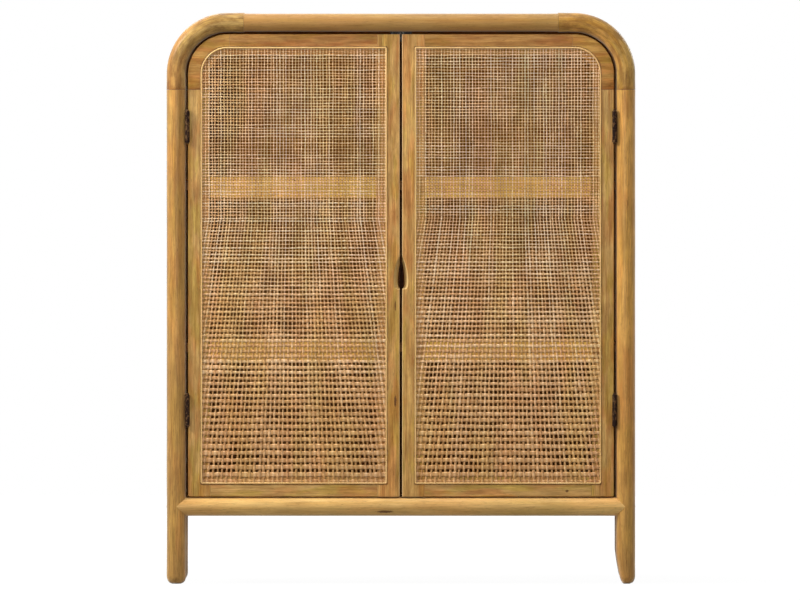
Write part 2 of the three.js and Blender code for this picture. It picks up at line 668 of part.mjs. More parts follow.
// A door with what swings with it. The group stands on the hinge axis, so turning it opens the door.
function door(sideName, side) {
  const prefix = `${sideName}_door`;
  const group = new THREE.Group();
  group.position.set(side * HINGE_X, HINGE_Y, 0);
  const parts = [
    ...doorFrame(sideName, side),
    ...Object.entries(CROSS_RAIL_LEVELS).map(([level, middle]) =>
      crossRail(`${prefix}_${level}_cross_rail`, side, middle),
    ),
    webbing(`${prefix}_webbing`, side),
    bead(`${prefix}_bead`, side),
    strikePlate(`${sideName}_strike_plate`, side),
    ...Object.entries(HINGE_LEVELS).map(([level, middle]) =>
      hingeLeaf(`${sideName}_${level}_hinge_door_leaf`, side, middle, false),
    ),
  ];
  for (const part of parts) group.attach(part);
  return group;
}

cabinet.add(poleFrame(), shell(), shelves(), postHinges(), magneticCatch());
for (const [sideName, side] of Object.entries(SIDES)) {
  cabinet.add(door(sideName, side));
}

export default cabinet;
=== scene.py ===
# The looks of a rattan record cabinet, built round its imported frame: round poles, door frames with woven cane
# and its bead, finger pull, hinges, catch and screws. Metres, +Z up, front towards -Y.

import contextlib
import math
from types import SimpleNamespace

import bmesh
import bpy
import numpy as np
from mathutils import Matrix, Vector


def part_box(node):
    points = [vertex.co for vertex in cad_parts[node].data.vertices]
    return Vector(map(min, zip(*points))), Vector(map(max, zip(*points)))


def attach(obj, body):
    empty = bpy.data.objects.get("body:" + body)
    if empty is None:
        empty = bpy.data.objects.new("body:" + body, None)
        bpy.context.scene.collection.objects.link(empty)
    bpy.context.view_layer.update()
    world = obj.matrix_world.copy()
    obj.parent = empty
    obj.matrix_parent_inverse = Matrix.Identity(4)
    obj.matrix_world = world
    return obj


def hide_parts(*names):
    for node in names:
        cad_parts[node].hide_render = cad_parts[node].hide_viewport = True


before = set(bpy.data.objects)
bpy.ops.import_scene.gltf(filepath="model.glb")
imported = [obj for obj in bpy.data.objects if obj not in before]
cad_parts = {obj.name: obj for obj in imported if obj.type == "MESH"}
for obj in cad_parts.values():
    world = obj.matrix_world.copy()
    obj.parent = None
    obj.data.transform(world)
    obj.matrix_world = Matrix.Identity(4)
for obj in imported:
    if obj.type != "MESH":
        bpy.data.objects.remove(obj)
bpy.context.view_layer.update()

MM = 0.001
SIDES = {"left": -1, "right": 1}
ENDS = {"front": -1, "rear": 1}
RIGHTWARD, BACKWARD, UPWARD = np.eye(3)

# Poles
POST_RADIUS = 21 * MM
TOP_POLE_RADIUS = 19.5 * MM
BOTTOM_POLE_RADIUS = 20 * MM
POST_X = 479 * MM
POST_Y = 179 * MM
POST_TOP = 1053.7 * MM
TOP_POLE_Y = 180.5 * MM
TOP_POLE_Z = 1197 * MM
TOP_POLE_REACH = 335.7 * MM
BOTTOM_POLE_X = 480 * MM
BOTTOM_POLE_Y = 180 * MM
BOTTOM_POLE_Z = 164.6 * MM
BEND_CENTRE_X = 370 * MM
BEND_CENTRE_Z = 1088 * MM
BEND_RADIUS = 109 * MM
BEND_LEG = 34 * MM
POLE_GAP = 0.3 * MM
POLE_SIDES = 40
POLE_STEP, BEND_STEP, BOTTOM_POLE_STEP = 0.016, 0.007, 0.014
BROKEN_EDGE = 0.15 * MM
HOLLOW_DEPTH, BOTTOM_HOLLOW_DEPTH = 0.7 * MM, 0.3 * MM
HOLLOW_FREE_END = 0.02
FOOT_HEIGHT, FOOT_INSET = 18 * MM, 12 * MM
SHAVED_HEIGHT, SHAVED_SHARE, SHAVED_CURVE = 68 * MM, 0.55, 1.3
GRAIN_SHIFT = 3.7  # metres along the grain from one pole to the next, so that no two are alike

# Doors
DOOR_OUTER_X = 454 * MM
DOOR_INNER_X = 2.5 * MM
DOOR_TOP = 1172 * MM
DOOR_BOTTOM = 186 * MM
DOOR_FRONT_Y = -191 * MM
DOOR_BACK_Y = -169 * MM
STILE_WIDTH = 48 * MM
FRAME_WIDTH = 46 * MM
REBATE_DEPTH = 2.4 * MM
REBATE_CORNER = 4 * MM
BORDER_WIDTH = 25 * MM
EDGE_ROUNDING = 1.5 * MM
CORNER_BLOCK_LEG = 34 * MM
CORNER_BLOCK_TOP_LEG = 4 * MM
CUTTER_OVERREACH, CUTTER_SIDE_OVERREACH = 4 * MM, 5 * MM
HINGE_HEIGHTS = {"lower": 370 * MM, "upper": 975 * MM}

# Back panel
BACK_GROOVE = 2.5 * MM

# Finger pull
PULL_Z = 648 * MM
PULL_RIM = {"x": 0 * MM, "reach": 15.8 * MM, "rise": 58 * MM, "drop": 20 * MM}
PULL_HOLE = {"x": 0.6 * MM, "reach": 6.9 * MM, "rise": 46 * MM, "drop": 18 * MM}
PULL_FLARE_DEPTH = 19 * MM
PULL_LIP = 0.6 * MM
PULL_OPENINGS = (1.07, 0.98)  # how far the hole reaches towards the rim, at the front and behind the lip

# Cane
CANE_INSET = 25.3 * MM
CANE_MIDDLE_Y = -189.7 * MM
CANE_LIFT = 0.4 * MM
CANE_THICKNESS = 0.75 * MM
CANE_EDGE_GAP = 1.8 * MM
STRAND_PITCH = 6.6 * MM
STRAND_WIDTH = 2.55 * MM
ROW_WIDTH = 2.5 * MM
SIDE_SKIN_RADIUS = 486.05 * MM - BEND_CENTRE_X
SIDE_CANE_BOTTOM = 182.3 * MM
SIDE_CANE_REACH = 157.4 * MM

# Beads
BEAD_INSET = CANE_INSET + 3.2 * MM
BEAD_CORNER = 2.4 * MM
BEAD_HALF_WIDTH = 1.6 * MM
BEAD_HEIGHT = 1.8 * MM
BEAD_BACK_Y = -190.7 * MM
BEAD_STEP = 0.02

# Screws
POST_SCREW_X = 458.65 * MM
DOOR_SCREW_X = 454.05 * MM
HINGE_SCREWS = ((-24 * MM, -181 * MM), (0.0, -176 * MM), (24 * MM, -181 * MM))
STRIKE_SCREW = (DOOR_INNER_X + 10.5 * MM, -167.15 * MM, 1163.5 * MM)


# ---- Node trees ----

NUMBER = "NodeSocketFloat"
COLOUR = "NodeSocketColor"
VECTOR = "NodeSocketVector"
MATERIAL = "NodeSocketMaterial"
GEOMETRY = "NodeSocketGeometry"
SOCKET_TYPES = {float: NUMBER, int: "NodeSocketInt", tuple: COLOUR}


class Field:
    """An output of a node that can be reckoned with as a number is."""

    def __init__(self, tree, socket):
        self.tree = tree
        self.socket = socket

    def reckon(self, operation, *others):
        return reckon(operation, self, *others)

    def __add__(self, other):
        return self.reckon("ADD", other)

    __radd__ = __add__

    def __sub__(self, other):
        return self.reckon("SUBTRACT", other)

    def __rsub__(self, other):
        return reckon("SUBTRACT", other, self)

    def __mul__(self, other):
        return self.reckon("MULTIPLY", other)

    __rmul__ = __mul__

    def __truediv__(self, other):
        return self.reckon("DIVIDE", other)

    def __rtruediv__(self, other):
        return reckon("DIVIDE", other, self)

    def at_least(self, least):
        return self.reckon("MAXIMUM", least)

    def at_most(self, most):
        return self.reckon("MINIMUM", most)

    def rise(self, low, high):
        """From 0 at low to 1 at high, smoothly."""
        return node("ShaderNodeMapRange", {"Value": self, "From Min": low, "From Max": high},
                    interpolation_type="SMOOTHSTEP")

    def parts(self):
        """The three parts of a vector."""
        made = place("ShaderNodeSeparateXYZ", {0: self})
        return [Field(self.tree, socket) for socket in made.outputs]

    def stretched(self, share):
        """A vector with its third part multiplied."""
        return node("ShaderNodeVectorMath", {0: self, 1: (1.0, 1.0, share)}, operation="MULTIPLY")

    def noise(self, scale, detail=2.0, roughness=0.5):
        return node("ShaderNodeTexNoise",
                    {"Vector": self, "Scale": scale, "Detail": detail, "Roughness": roughness})

    def mixed(self, share, second, mode="MIX"):
        return mix(share, self, second, mode)


def feed(socket, value):
    if isinstance(value, Field):
        value.tree.links.new(value.socket, socket)
    else:
        socket.default_value = value


def place(kind, inputs=(), tree=None, **settings):
    """A new node, its inputs by name or number, in the tree that is given or the one of its inputs."""
    inputs = dict(inputs)
    if tree is None:
        tree = next(value.tree for value in inputs.values() if isinstance(value, Field))
    made = tree.nodes.new(kind)
    for key, value in settings.items():
        setattr(made, key, value)
    for key, value in inputs.items():
        feed(made.inputs[key], value)
    return made


def node(kind, inputs=(), key=0, **settings):
    """One output of a new node, by name or number."""
    made = place(kind, inputs, **settings)
    return Field(made.id_data, made.outputs[key])


def reckon(operation, *terms):
    return node("ShaderNodeMath", dict(enumerate(terms)), operation=operation)


def vector_of(*parts):
    return node("ShaderNodeCombineXYZ", dict(enumerate(parts)))


def mix(share, first, second, mode="MIX"):
    return node("ShaderNodeMix", {0: share, 6: first, 7: second}, 2, data_type="RGBA", blend_type=mode)


def object_place(tree):
    return node("ShaderNodeTexCoord", key="Object", tree=tree)


def carried(tree, label, key="Fac"):
    """A value that a mesh carries on its points."""
    return node("ShaderNodeAttribute", key=key, tree=tree, attribute_name=label)


def plain(label):
    """A socket's label as a plain name."""
    return label.lower().replace(" ", "_")


def new_group(name, kind, inputs, make, socket_type=NUMBER):
    """A node group. Inputs have first values or socket types, and make returns the outputs by name."""
    tree = bpy.data.node_groups.new(name, kind)
    for label, value in inputs.items():
        given_type = SOCKET_TYPES.get(type(value), value)
        socket = tree.interface.new_socket(label, in_out="INPUT", socket_type=given_type)
        if type(value) in SOCKET_TYPES:
            socket.default_value = value
    start = tree.nodes.new("NodeGroupInput")
    fields = {plain(label): Field(tree, start.outputs[label]) for label in inputs}
    outputs = make(SimpleNamespace(tree=tree, **fields))
    for label in outputs:
        tree.interface.new_socket(label, in_out="OUTPUT", socket_type=socket_type)
    place("NodeGroupOutput", outputs)
    return tree


def use(tree, group, inputs):
    """Places a shader group in a tree and returns its outputs by name."""
    made = place("ShaderNodeGroup", inputs, tree, node_tree=group)
    return {socket.name: Field(tree, socket) for socket in made.outputs}


def paint(colour, level=1.0):
    """A colour as it is seen, from 0 to 255, in Blender's linear values."""
    shares = [channel * level / 255 for channel in colour]
    return tuple(c / 12.92 if c <= 0.04045 else ((c + 0.055) / 1.055) ** 2.4 for c in shares) + (1.0,)


# ---- Shader groups ----

def grain(given):
    """Fine streaks, wider bands, mottles and pores of wood or cane that runs along Z."""
    vector = given.vector
    streaks = vector.stretched(0.03).noise(1 / given.streak_width, 3.0, 0.6)
    bands = vector.stretched(0.07).noise(1 / given.band_width)
    mottles = vector.stretched(0.4).noise(1 / given.mottle_size, 5.0, 0.62)
    pores = vector.stretched(0.06).noise(1 / given.pore_width, 1.0).rise(0.62, 0.74)
    return {"Streaks": streaks.rise(0.3, 0.7), "Bands": bands.rise(0.3, 0.7),
            "Mottles": mottles.rise(0.36, 0.64), "Pores": pores, "Height": streaks * 0.6 - pores * 0.4}


def colour_drift(given):
    """Slow changes of hue over a surface, towards rose and towards olive, and of its lightness."""
    scale = 1 / given.patch_size
    slow = given.vector.stretched(0.22)
    moved = node("ShaderNodeVectorMath", {0: slow, 1: (3.1, 7.7, 1.9)}, operation="ADD")
    rose = slow.noise(scale, 3.0).rise(0.46, 0.62) * given.rose
    olive = moved.noise(scale, 3.0).rise(0.46, 0.62) * given.olive
    tinted = given.color.mixed(rose, (1.0, 0.72, 0.62, 1.0), "MULTIPLY")
    tinted = tinted.mixed(olive, (0.82, 0.90, 0.42, 1.0), "MULTIPLY")
    light = 1 + (moved.noise(scale * 1.7) - 0.5) * given.unevenness * 2
    return {"Color": node("ShaderNodeVectorMath", {0: tinted, 3: light}, operation="SCALE")}


def edge_wear_and_highlight(given):
    """A mask of pale rounded edges: partly where hands and cloths wear them, partly a painted highlight where
    they catch the light; most of all beside the gap between the doors, where the front edges get a painted
    highlight.
    """
    rounded = node("ShaderNodeBevel", {"Radius": given.reach}, samples=4)
    true = node("ShaderNodeNewGeometry", key="True Normal", tree=given.tree)
    near = node("ShaderNodeVectorMath", {0: rounded, 1: true}, "Value", operation="DOT_PRODUCT")
    edge = (1 - near).rise(0.01, 0.16) * 0.25
    patches = given.vector.noise(60.0, 3.0) * given.patchiness
    x, y, _ = object_place(given.tree).parts()
    gap = given.gap_half_width
    # A painted highlight on the front edges beside the gap between the doors.
    gap_highlight = (1 - x.reckon("ABSOLUTE").rise(gap, gap + 0.002)) * y.rise(-0.1885, -0.1902)
    return {"Edge": (edge + gap_highlight).at_most(1.0) * (1 - patches)}


def knot_and_shade(given):
    """Knots, stains and strips of painted shade: a mask of one uneven oval that runs through a piece from front
    to back.
    """
    position = object_place(given.tree)
    x, _, z = position.parts()
    across = (x - given.x) / given.half_width
    along = (z - given.z) / given.half_height
    reach = (across * across + along * along).reckon("SQRT")
    rough = (position.noise(400.0) - 0.5) * 0.8
    return {"Knot And Shade": 1 - (reach + rough).rise(0.55, 1.1)}


def end_stain(given):
    """Masks of the darker wood above a joint at one height, and of the joint's line."""
    position = object_place(given.tree)
    above = position.parts()[2] - given.height
    cloud = position.noise(70.0, 3.0)
    return {"Stain": (1 - above.rise(0.0, given.reach * (cloud * 2))) * (0.4 + cloud),
            "Line": 1 - above.rise(0.0008, 0.002)}


def pull_face(given):
    """A mask of the paler wood in the finger pull, behind the front of the stiles: bare cut wood, and a painted
    highlight on its flare.
    """
    x, y, z = object_place(given.tree).parts()
    middle = PULL_Z + (PULL_RIM["rise"] - PULL_RIM["drop"]) / 2
    half = (PULL_RIM["rise"] + PULL_RIM["drop"]) / 2
    reach = PULL_RIM["reach"]
    inside = y.rise(DOOR_FRONT_Y + 0.3 * MM, DOOR_FRONT_Y + 0.9 * MM)
    inside = inside * (1 - x.reckon("ABSOLUTE").rise(reach, reach + MM))
    inside = inside * (1 - (z - middle).reckon("ABSOLUTE").rise(half, half + MM))
    return {"Inside": inside * (0.7 + given.vector.noise(120.0) * 0.6)}


GRAIN = new_group("grain", "ShaderNodeTree", {
    "Vector": VECTOR, "Streak Width": 0.0016, "Band Width": 0.012, "Mottle Size": 0.02, "Pore Width": 0.0008,
}, grain)
DRIFT = new_group("colour_drift", "ShaderNodeTree", {
    "Color": (0.5, 0.3, 0.1, 1.0), "Vector": VECTOR, "Patch Size": 0.05, "Rose": 0.3, "Olive": 0.3,
    "Unevenness": 0.2,
}, colour_drift, COLOUR)
EDGE_WEAR_AND_HIGHLIGHT = new_group("edge_wear_and_highlight", "ShaderNodeTree", {
    "Vector": VECTOR, "Reach": 0.0015, "Patchiness": 0.5, "Gap Half Width": 0.0,
}, edge_wear_and_highlight)
KNOT_AND_SHADE = new_group("knot_and_shade", "ShaderNodeTree", {
    "X": 0.0, "Z": 0.0, "Half Width": 0.002, "Half Height": 0.01,
}, knot_and_shade)
END_STAIN = new_group("end_stain", "ShaderNodeTree", {"Height": 0.0, "Reach": 0.02}, end_stain)
PULL_FACE = new_group("pull_face", "ShaderNodeTree", {"Vector": VECTOR}, pull_face)


# ---- Materials ----

RUBBED_EDGE_AND_HIGHLIGHT = (225, 190, 140)
JOINT_LINE = (104, 56, 24)
KNOT_AND_SHADE_BROWN = (78, 40, 10)
RAW_WOOD_AND_HIGHLIGHT = (236, 210, 150)
FOOT_SHADE_TINT = (0.62, 0.64, 0.72, 1.0)
STAIN_TINT = (0.68, 0.52, 0.36, 1.0)
SHEEN_TINT = (1.0, 0.93, 0.8, 1.0)


def run_of_grain(tree, run):
    """Coordinates whose Z follows the grain: a piece's own attribute, or Object coordinates turned round."""
    if run == "straight":
        return carried(tree, "straight", "Vector")
    x, y, z = object_place(tree).parts()
    return vector_of(*{"x": (y, z, x), "y": (z, x, y), "z": (x, y, z)}[run])


def new_shader(name, **uniform):
    material = bpy.data.materials.new(name)
    material.use_nodes = True
    shader = material.node_tree.nodes["Principled BSDF"]
    for label, value in uniform.items():
        shader.inputs[label.replace("_", " ")].default_value = value
    return material, material.node_tree, shader


def finish_shader(shader, colour, roughness, height, strength, distance):
    feed(shader.inputs["Base Color"], colour)
    feed(shader.inputs["Roughness"], roughness)
    feed(shader.inputs["Normal"], node(
        "ShaderNodeBump", {"Height": height, "Strength": strength, "Distance": distance}, "Normal"))


def wood(name, dark, middle, light, run="straight", streaks=0.5, bands=0.4, mottles=0.3, pores=0.5,
         streak_width=0.0016, band_width=0.012, mottle_size=0.02, patch_size=0.05, rose=0.35, olive=0.35,
         unevenness=0.2, edge=0.0, gap=0.0, coat=0.08, sheen=0.0, foot=0.0, stain=0.0, raw_and_highlight=0.0, knots_and_shade=()):
    """Varnished wood or pole: three colours, mixed by streaks, bands and mottles."""
    material, tree, shader = new_shader(
        name, Coat_Roughness=0.25, Specular_IOR_Level=0.12, Sheen_Weight=sheen, Sheen_Roughness=0.5,
        Sheen_Tint=SHEEN_TINT)
    vector = run_of_grain(tree, run)
    fibres = use(tree, GRAIN, {"Vector": vector, "Streak Width": streak_width, "Band Width": band_width,
                               "Mottle Size": mottle_size})
    colour = mix(fibres["Bands"] * bands, paint(middle), paint(light))
    colour = colour.mixed(fibres["Streaks"] * streaks, paint(dark))
    colour = colour.mixed(fibres["Mottles"] * mottles, paint(dark))
    colour = colour.mixed(fibres["Pores"] * pores, paint(dark, 0.55))
    colour = use(tree, DRIFT, {"Color": colour, "Vector": vector, "Patch Size": patch_size, "Rose": rose,
                               "Olive": olive, "Unevenness": unevenness})["Color"]
    # Painted shade: darker and greyer towards the floor.
    if foot:
        low = 1 - object_place(tree).parts()[2].rise(-0.05, 0.5)
        colour = colour.mixed(low * foot, FOOT_SHADE_TINT, "MULTIPLY")
    if stain:
        beside = use(tree, END_STAIN, {"Height": POST_TOP})
        colour = colour.mixed((beside["Stain"] * stain).at_most(1.0), STAIN_TINT, "MULTIPLY")
        colour = colour.mixed(beside["Line"] * 0.8, paint(JOINT_LINE))
    # Pale edges: wear and a painted highlight.
    if edge:
        wear_and_highlight = use(tree, EDGE_WEAR_AND_HIGHLIGHT, {"Vector": vector, "Gap Half Width": gap})["Edge"]
        colour = colour.mixed(wear_and_highlight * edge, paint(RUBBED_EDGE_AND_HIGHLIGHT))
    # Paler finger pull: bare cut wood and a painted highlight.
    if raw_and_highlight:
        inside = use(tree, PULL_FACE, {"Vector": vector})["Inside"]
        colour = colour.mixed(inside * raw_and_highlight, paint(RAW_WOOD_AND_HIGHLIGHT))
    # Knots, and on the back panel a strip of painted shade.
    for x, z, half_width, half_height in knots_and_shade:
        dark_spot = use(tree, KNOT_AND_SHADE, {"X": x * MM, "Z": z * MM, "Half Width": half_width * MM,
                                     "Half Height": half_height * MM})["Knot And Shade"]
        colour = colour.mixed(dark_spot * 0.85, paint(KNOT_AND_SHADE_BROWN))
    feed(shader.inputs["Coat Weight"], coat * (1 - fibres["Pores"]))
    finish_shader(shader, colour, 0.38 + fibres["Streaks"] * 0.2, fibres["Height"], 0.35, 0.0006)
    return material


def cane(name, dark, middle, light):
    """Peeled cane strands: each strand has its own tone, and fibres run along it. They are painted lighter at
    their crossings as a highlight, and darker between them as shade.
    """
    material, tree, shader = new_shader(name, Specular_IOR_Level=0.3)
    fibres = use(tree, GRAIN, {"Vector": run_of_grain(tree, "straight"), "Streak Width": 0.0007,
                               "Band Width": 0.006, "Mottle Size": 0.018})
    tone = carried(tree, "tone")
    # Painted highlight where one strand rides over another, and painted shade between the crossings.
    crossing_highlight = (carried(tree, "turns") * math.pi).reckon("COSINE").reckon("POWER", 2.0)
    dull = (0.75 - tone).at_least(0.0) * 0.6
    shade = (1 - crossing_highlight) * 0.3 + fibres["Mottles"] * 0.3 + fibres["Streaks"] * 0.15 + dull
    colour = mix(tone * tone * 0.6 + crossing_highlight * 0.4, paint(middle), paint(light))
    colour = colour.mixed(shade, paint(dark))
    colour = use(tree, DRIFT, {"Color": colour, "Vector": object_place(tree), "Patch Size": 0.05,
                               "Rose": 0.24, "Olive": 0.3, "Unevenness": 0.25})["Color"]
    finish_shader(shader, colour, 0.34 + fibres["Streaks"] * 0.2, fibres["Height"], 0.3, 0.0003)
    return material


def metal(name, base, rubbed_and_lit, roughness, metallic, scuffed_and_lit=0.6):
    """Plated or darkened metal, paler along its edges and in spots: partly bare metal where use has thinned its
    finish, partly painted highlights.
    """
    material, tree, shader = new_shader(name, Metallic=metallic, Specular_IOR_Level=0.12)
    vector = run_of_grain(tree, "z")
    wear_and_highlight = use(tree, EDGE_WEAR_AND_HIGHLIGHT, {"Vector": vector, "Reach": 0.0006, "Patchiness": 0.8})["Edge"]
    cloud = vector.noise(160.0, 4.0)
    # Pale spots, partly bare metal and partly painted highlights.
    scuffs_and_glints = vector.stretched(0.6).noise(260.0, 3.0).rise(0.5, 0.62) * scuffed_and_lit
    colour = mix(cloud * 0.5, paint(base), paint(base, 0.6))
    colour = colour.mixed(scuffs_and_glints, paint(rubbed_and_lit)).mixed(wear_and_highlight * 0.7, paint(rubbed_and_lit))
    finish_shader(shader, colour, roughness + cloud * 0.25, vector.noise(900.0), 0.15, 0.0002)
    return material


# Knots, and a tall strip of painted shade on the back panel, are given as X, Z, half their width and half their
# height, in millimetres.
# The right-hand post wood is paler than the left-hand: painted light, making up for the key lamp that lights
# the left-hand posts more.
POST = {
    side_name: wood(side_name + "_post_pole", *colours, bands=0.8, mottle_size=0.03, band_width=0.008,
                    patch_size=0.03, olive=0.25, unevenness=0.3, coat=0.15, sheen=0.4, foot=foot, knots_and_shade=knots_and_shade)
    for side_name, colours, foot, knots_and_shade in (
        ("left", ((112, 74, 30), (188, 141, 70), (222, 171, 92)), 0.0, ()),
        ("right", ((134, 86, 34), (220, 162, 78), (246, 190, 100)), 0.5, [(484, 812, 0.9, 9)]))
}
# The right-hand bend wood is paler too: painted light, as for the posts.
BENT_POLE = {
    side_name: wood(side_name + "_bent_pole", *colours, streaks=0.4, bands=0.6, mottles=0.6,
                    mottle_size=0.013, patch_size=0.035, rose=0.5, olive=0.5, sheen=0.4, stain=0.7)
    for side_name, colours in (
        ("left", ((104, 66, 24), (188, 144, 70), (220, 184, 110))),
        ("right", ((112, 72, 26), (206, 156, 72), (238, 194, 108))))
}
LEVEL_POLE = {"streaks": 0.35, "bands": 0.5, "mottle_size": 0.04, "rose": 0.25, "olive": 0.2}
# The bottom pole's wood is paler than the top pole's: painted light, making up for lamplight that falls off
# towards the bottom.
TOP_POLE = wood("top_pole", (124, 80, 34), (182, 137, 71), (201, 161, 92), mottles=0.15, sheen=0.5,
                **LEVEL_POLE)
BOTTOM_POLE = wood("bottom_pole", (150, 104, 50), (230, 182, 104), (250, 212, 136), mottles=0.2, sheen=0.3,
                   knots_and_shade=[(-34, 154, 20, 3)], **LEVEL_POLE)

DOOR_WOOD = {"streak_width": 0.0014, "band_width": 0.007, "bands": 0.9, "edge": 0.8, "gap": 0.0032,
             "patch_size": 0.022, "rose": 0.6, "olive": 0.6, "unevenness": 0.35}
HINGE_STILE = wood("door_hinge_stile", (126, 84, 36), (194, 147, 80), (230, 186, 112), "z", **DOOR_WOOD)
MEETING_STILE = wood("door_meeting_stile", (128, 82, 34), (202, 151, 80), (240, 192, 112), "z", raw_and_highlight=0.55,
                     knots_and_shade=[(-12, 593, 1.6, 13), (-12, 390, 3.0, 14)], **DOOR_WOOD)
CORNER = wood("door_corner_block", (118, 72, 26), (182, 132, 62), (218, 168, 90), "x", stain=1.0, **DOOR_WOOD)
TOP_RAIL = wood("door_top_rail", (114, 66, 24), (180, 126, 60), (210, 157, 86), "x", **DOOR_WOOD)
BOTTOM_RAIL = wood("door_bottom_rail", (132, 88, 40), (206, 161, 94), (236, 192, 118), "x",
                   knots_and_shade=[(354, 198, 4, 3)], **DOOR_WOOD)

BOARD = {"streak_width": 0.0014, "band_width": 0.02, "streaks": 0.45, "bands": 0.5, "mottles": 0.15}
PANEL = {
    run: wood("panel_along_" + run, (96, 54, 16), (162, 104, 40), (180, 122, 58), run, edge=0.3, **BOARD)
    for run in "xyz"
}
# The tall narrow dark oval down the middle of the back is painted shade, darkening what shows through the gap
# between the doors.
BACK_PANEL = wood("back_panel", (102, 58, 20), (172, 112, 46), (190, 130, 64), "x",
                  knots_and_shade=[(0, 680, 5, 900)], **BOARD)
# Paler than the door frames: painted light, making up for the shade of the cane strands that lie over it.
CROSS_RAIL = wood("cross_rail", (198, 148, 60), (246, 194, 96), (255, 216, 120), "x", streak_width=0.0014,
                  band_width=0.008, knots_and_shade=[(-226, 862, 3.5, 3)])
CANE = cane("woven_cane", (164, 114, 62), (250, 191, 121), (255, 227, 188))
BEAD = wood("split_cane_bead", (190, 140, 76), (238, 196, 128), (255, 228, 172), streaks=0.35, mottles=0.15,
            pores=0.2, streak_width=0.0008, band_width=0.004, rose=0.2, olive=0.2)
BRONZE = metal("dark_bronze", (30, 12, 4), (150, 112, 74), 0.55, 0.1, scuffed_and_lit=0.4)
STEEL = metal("catch_steel", (84, 78, 72), (150, 144, 136), 0.45, 0.9)


# ---- Mesh helpers ----

TUBE_SHARP_TURN, STILE_SHARP_TURN, SCREW_SHARP_TURN = 40, 35, 30  # degrees

def linked(name, data):
    """A new object, linked into the scene."""
    thing = bpy.data.objects.new(name, data)
    bpy.context.scene.collection.objects.link(thing)
    return thing


def new_mesh(name, points, faces):
    mesh = bpy.data.meshes.new(name)
    mesh.from_pydata([tuple(point) for point in points], [], faces)
    return mesh


@contextlib.contextmanager
def opened(mesh):
    """Opens a mesh for work on its faces, and writes it back."""
    shape = bmesh.new()
    shape.from_mesh(mesh)
    yield shape
    shape.to_mesh(mesh)
    shape.free()


def tidy_normals(mesh, merge=None):
    with opened(mesh) as shape:
        if merge:
            bmesh.ops.remove_doubles(shape, verts=shape.verts, dist=merge)
        bmesh.ops.recalc_face_normals(shape, faces=shape.faces)


def smooth_up_to(mesh, degrees):
    """Shades faces smooth, and keeps the edges that turn by more than an angle sharp."""
    limit = math.radians(degrees)
    with opened(mesh) as shape:
        for face in shape.faces:
            face.smooth = True
        for edge in shape.edges:
            edge.smooth = len(edge.link_faces) == 2 and edge.calc_face_angle(math.pi) < limit


def keep_vectors(mesh, values, label="straight"):
    values = np.asarray(values, np.float32).reshape(-1, 3)
    mesh.attributes.new(label, "FLOAT_VECTOR", "POINT").data.foreach_set("vector", values.ravel())


def finish_mesh(mesh, material):
    mesh.materials.clear()
    mesh.materials.append(material)


def add_piece(name, mesh, material, body, slot, *nodes):
    piece = linked(name, mesh)
    finish_mesh(mesh, material)
    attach(piece, body)
    if nodes:
        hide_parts(*nodes)
    return piece


def settled(thing):
    """The plain mesh of an object with its modifiers applied. The object goes."""
    mesh = bpy.data.meshes.new_from_object(thing.evaluated_get(bpy.context.evaluated_depsgraph_get()))
    bpy.data.objects.remove(thing)
    return mesh


def grown(name, mesh, tree, values):
    """What a geometry tree makes of a mesh, with these values for its named inputs."""
    seat = linked(name, mesh)
    growth = seat.modifiers.new("growth", "NODES")
    growth.node_group = tree
    for item in tree.interface.items_tree:
        if item.item_type == "SOCKET" and item.in_out == "INPUT" and item.name in values:
            growth[item.identifier] = values[item.name]
    return settled(seat)


def tube(name, rings, straight, closed=False):
    """A skin over rings of points. An open tube gets a fan of faces over each end."""
    count, sides = rings.shape[:2]
    points = [point for ring in rings for point in ring]
    own = [value for ring in straight for value in ring]
    faces = []
    for k in range(count if closed else count - 1):
        here, after = k * sides, (k + 1) % count * sides
        for j in range(sides):
            beside = (j + 1) % sides
            faces.append((here + j, here + beside, after + beside, after + j))
    if not closed:
        for k in (0, count - 1):
            middle = len(points)
            points.append(rings[k].mean(axis=0))
            own.append(straight[k].mean(axis=0))
            faces += [(k * sides + j, k * sides + (j + 1) % sides, middle) for j in range(sides)]
    mesh = new_mesh(name, points, faces)
    keep_vectors(mesh, own)
    tidy_normals(mesh)
    smooth_up_to(mesh, TUBE_SHARP_TURN)
    return mesh


# ---- Poles ----

ANGLES = np.linspace(0, 2 * math.pi, POLE_SIDES, endpoint=False)


def lined_up(*parts):
    """Points or directions, one to a row, from three parts that are each a number or a row of numbers."""
    return np.column_stack(np.broadcast_arrays(*parts))


def hollows(along, length, seed, depth=HOLLOW_DEPTH):
    """How far a hand-worked pole's skin lies inside its nominal size, at each place along and round it."""
    draw = np.random.default_rng(seed)
    waves = np.zeros((len(along), POLE_SIDES))
    for turns in (0, 0, 1, 1, 2):
        pace = draw.uniform(9, 34)
        phase, swing = draw.uniform(0, 2 * math.pi), draw.uniform(0, 2 * math.pi)
        waves += np.sin(along[:, None] * pace + phase) * np.cos(turns * ANGLES[None, :] + swing)
    ends = np.clip(np.minimum(along, length - along) / HOLLOW_FREE_END, 0, 1)[:, None]
    return depth * ends * (0.5 + 0.5 * waves / 5)


def stations(length, step):
    """Places along a pole, with a narrow band at each end for its broken edge."""
    inner = np.linspace(BROKEN_EDGE, length - BROKEN_EDGE, max(3, round(length / step)))
    return np.concatenate([[0], inner, [length]])


def pole_radii(along, length, radius, seed, depth=HOLLOW_DEPTH):
    radii = radius - hollows(along, length, seed, depth)
    radii[[0, -1]] -= BROKEN_EDGE
    return radii


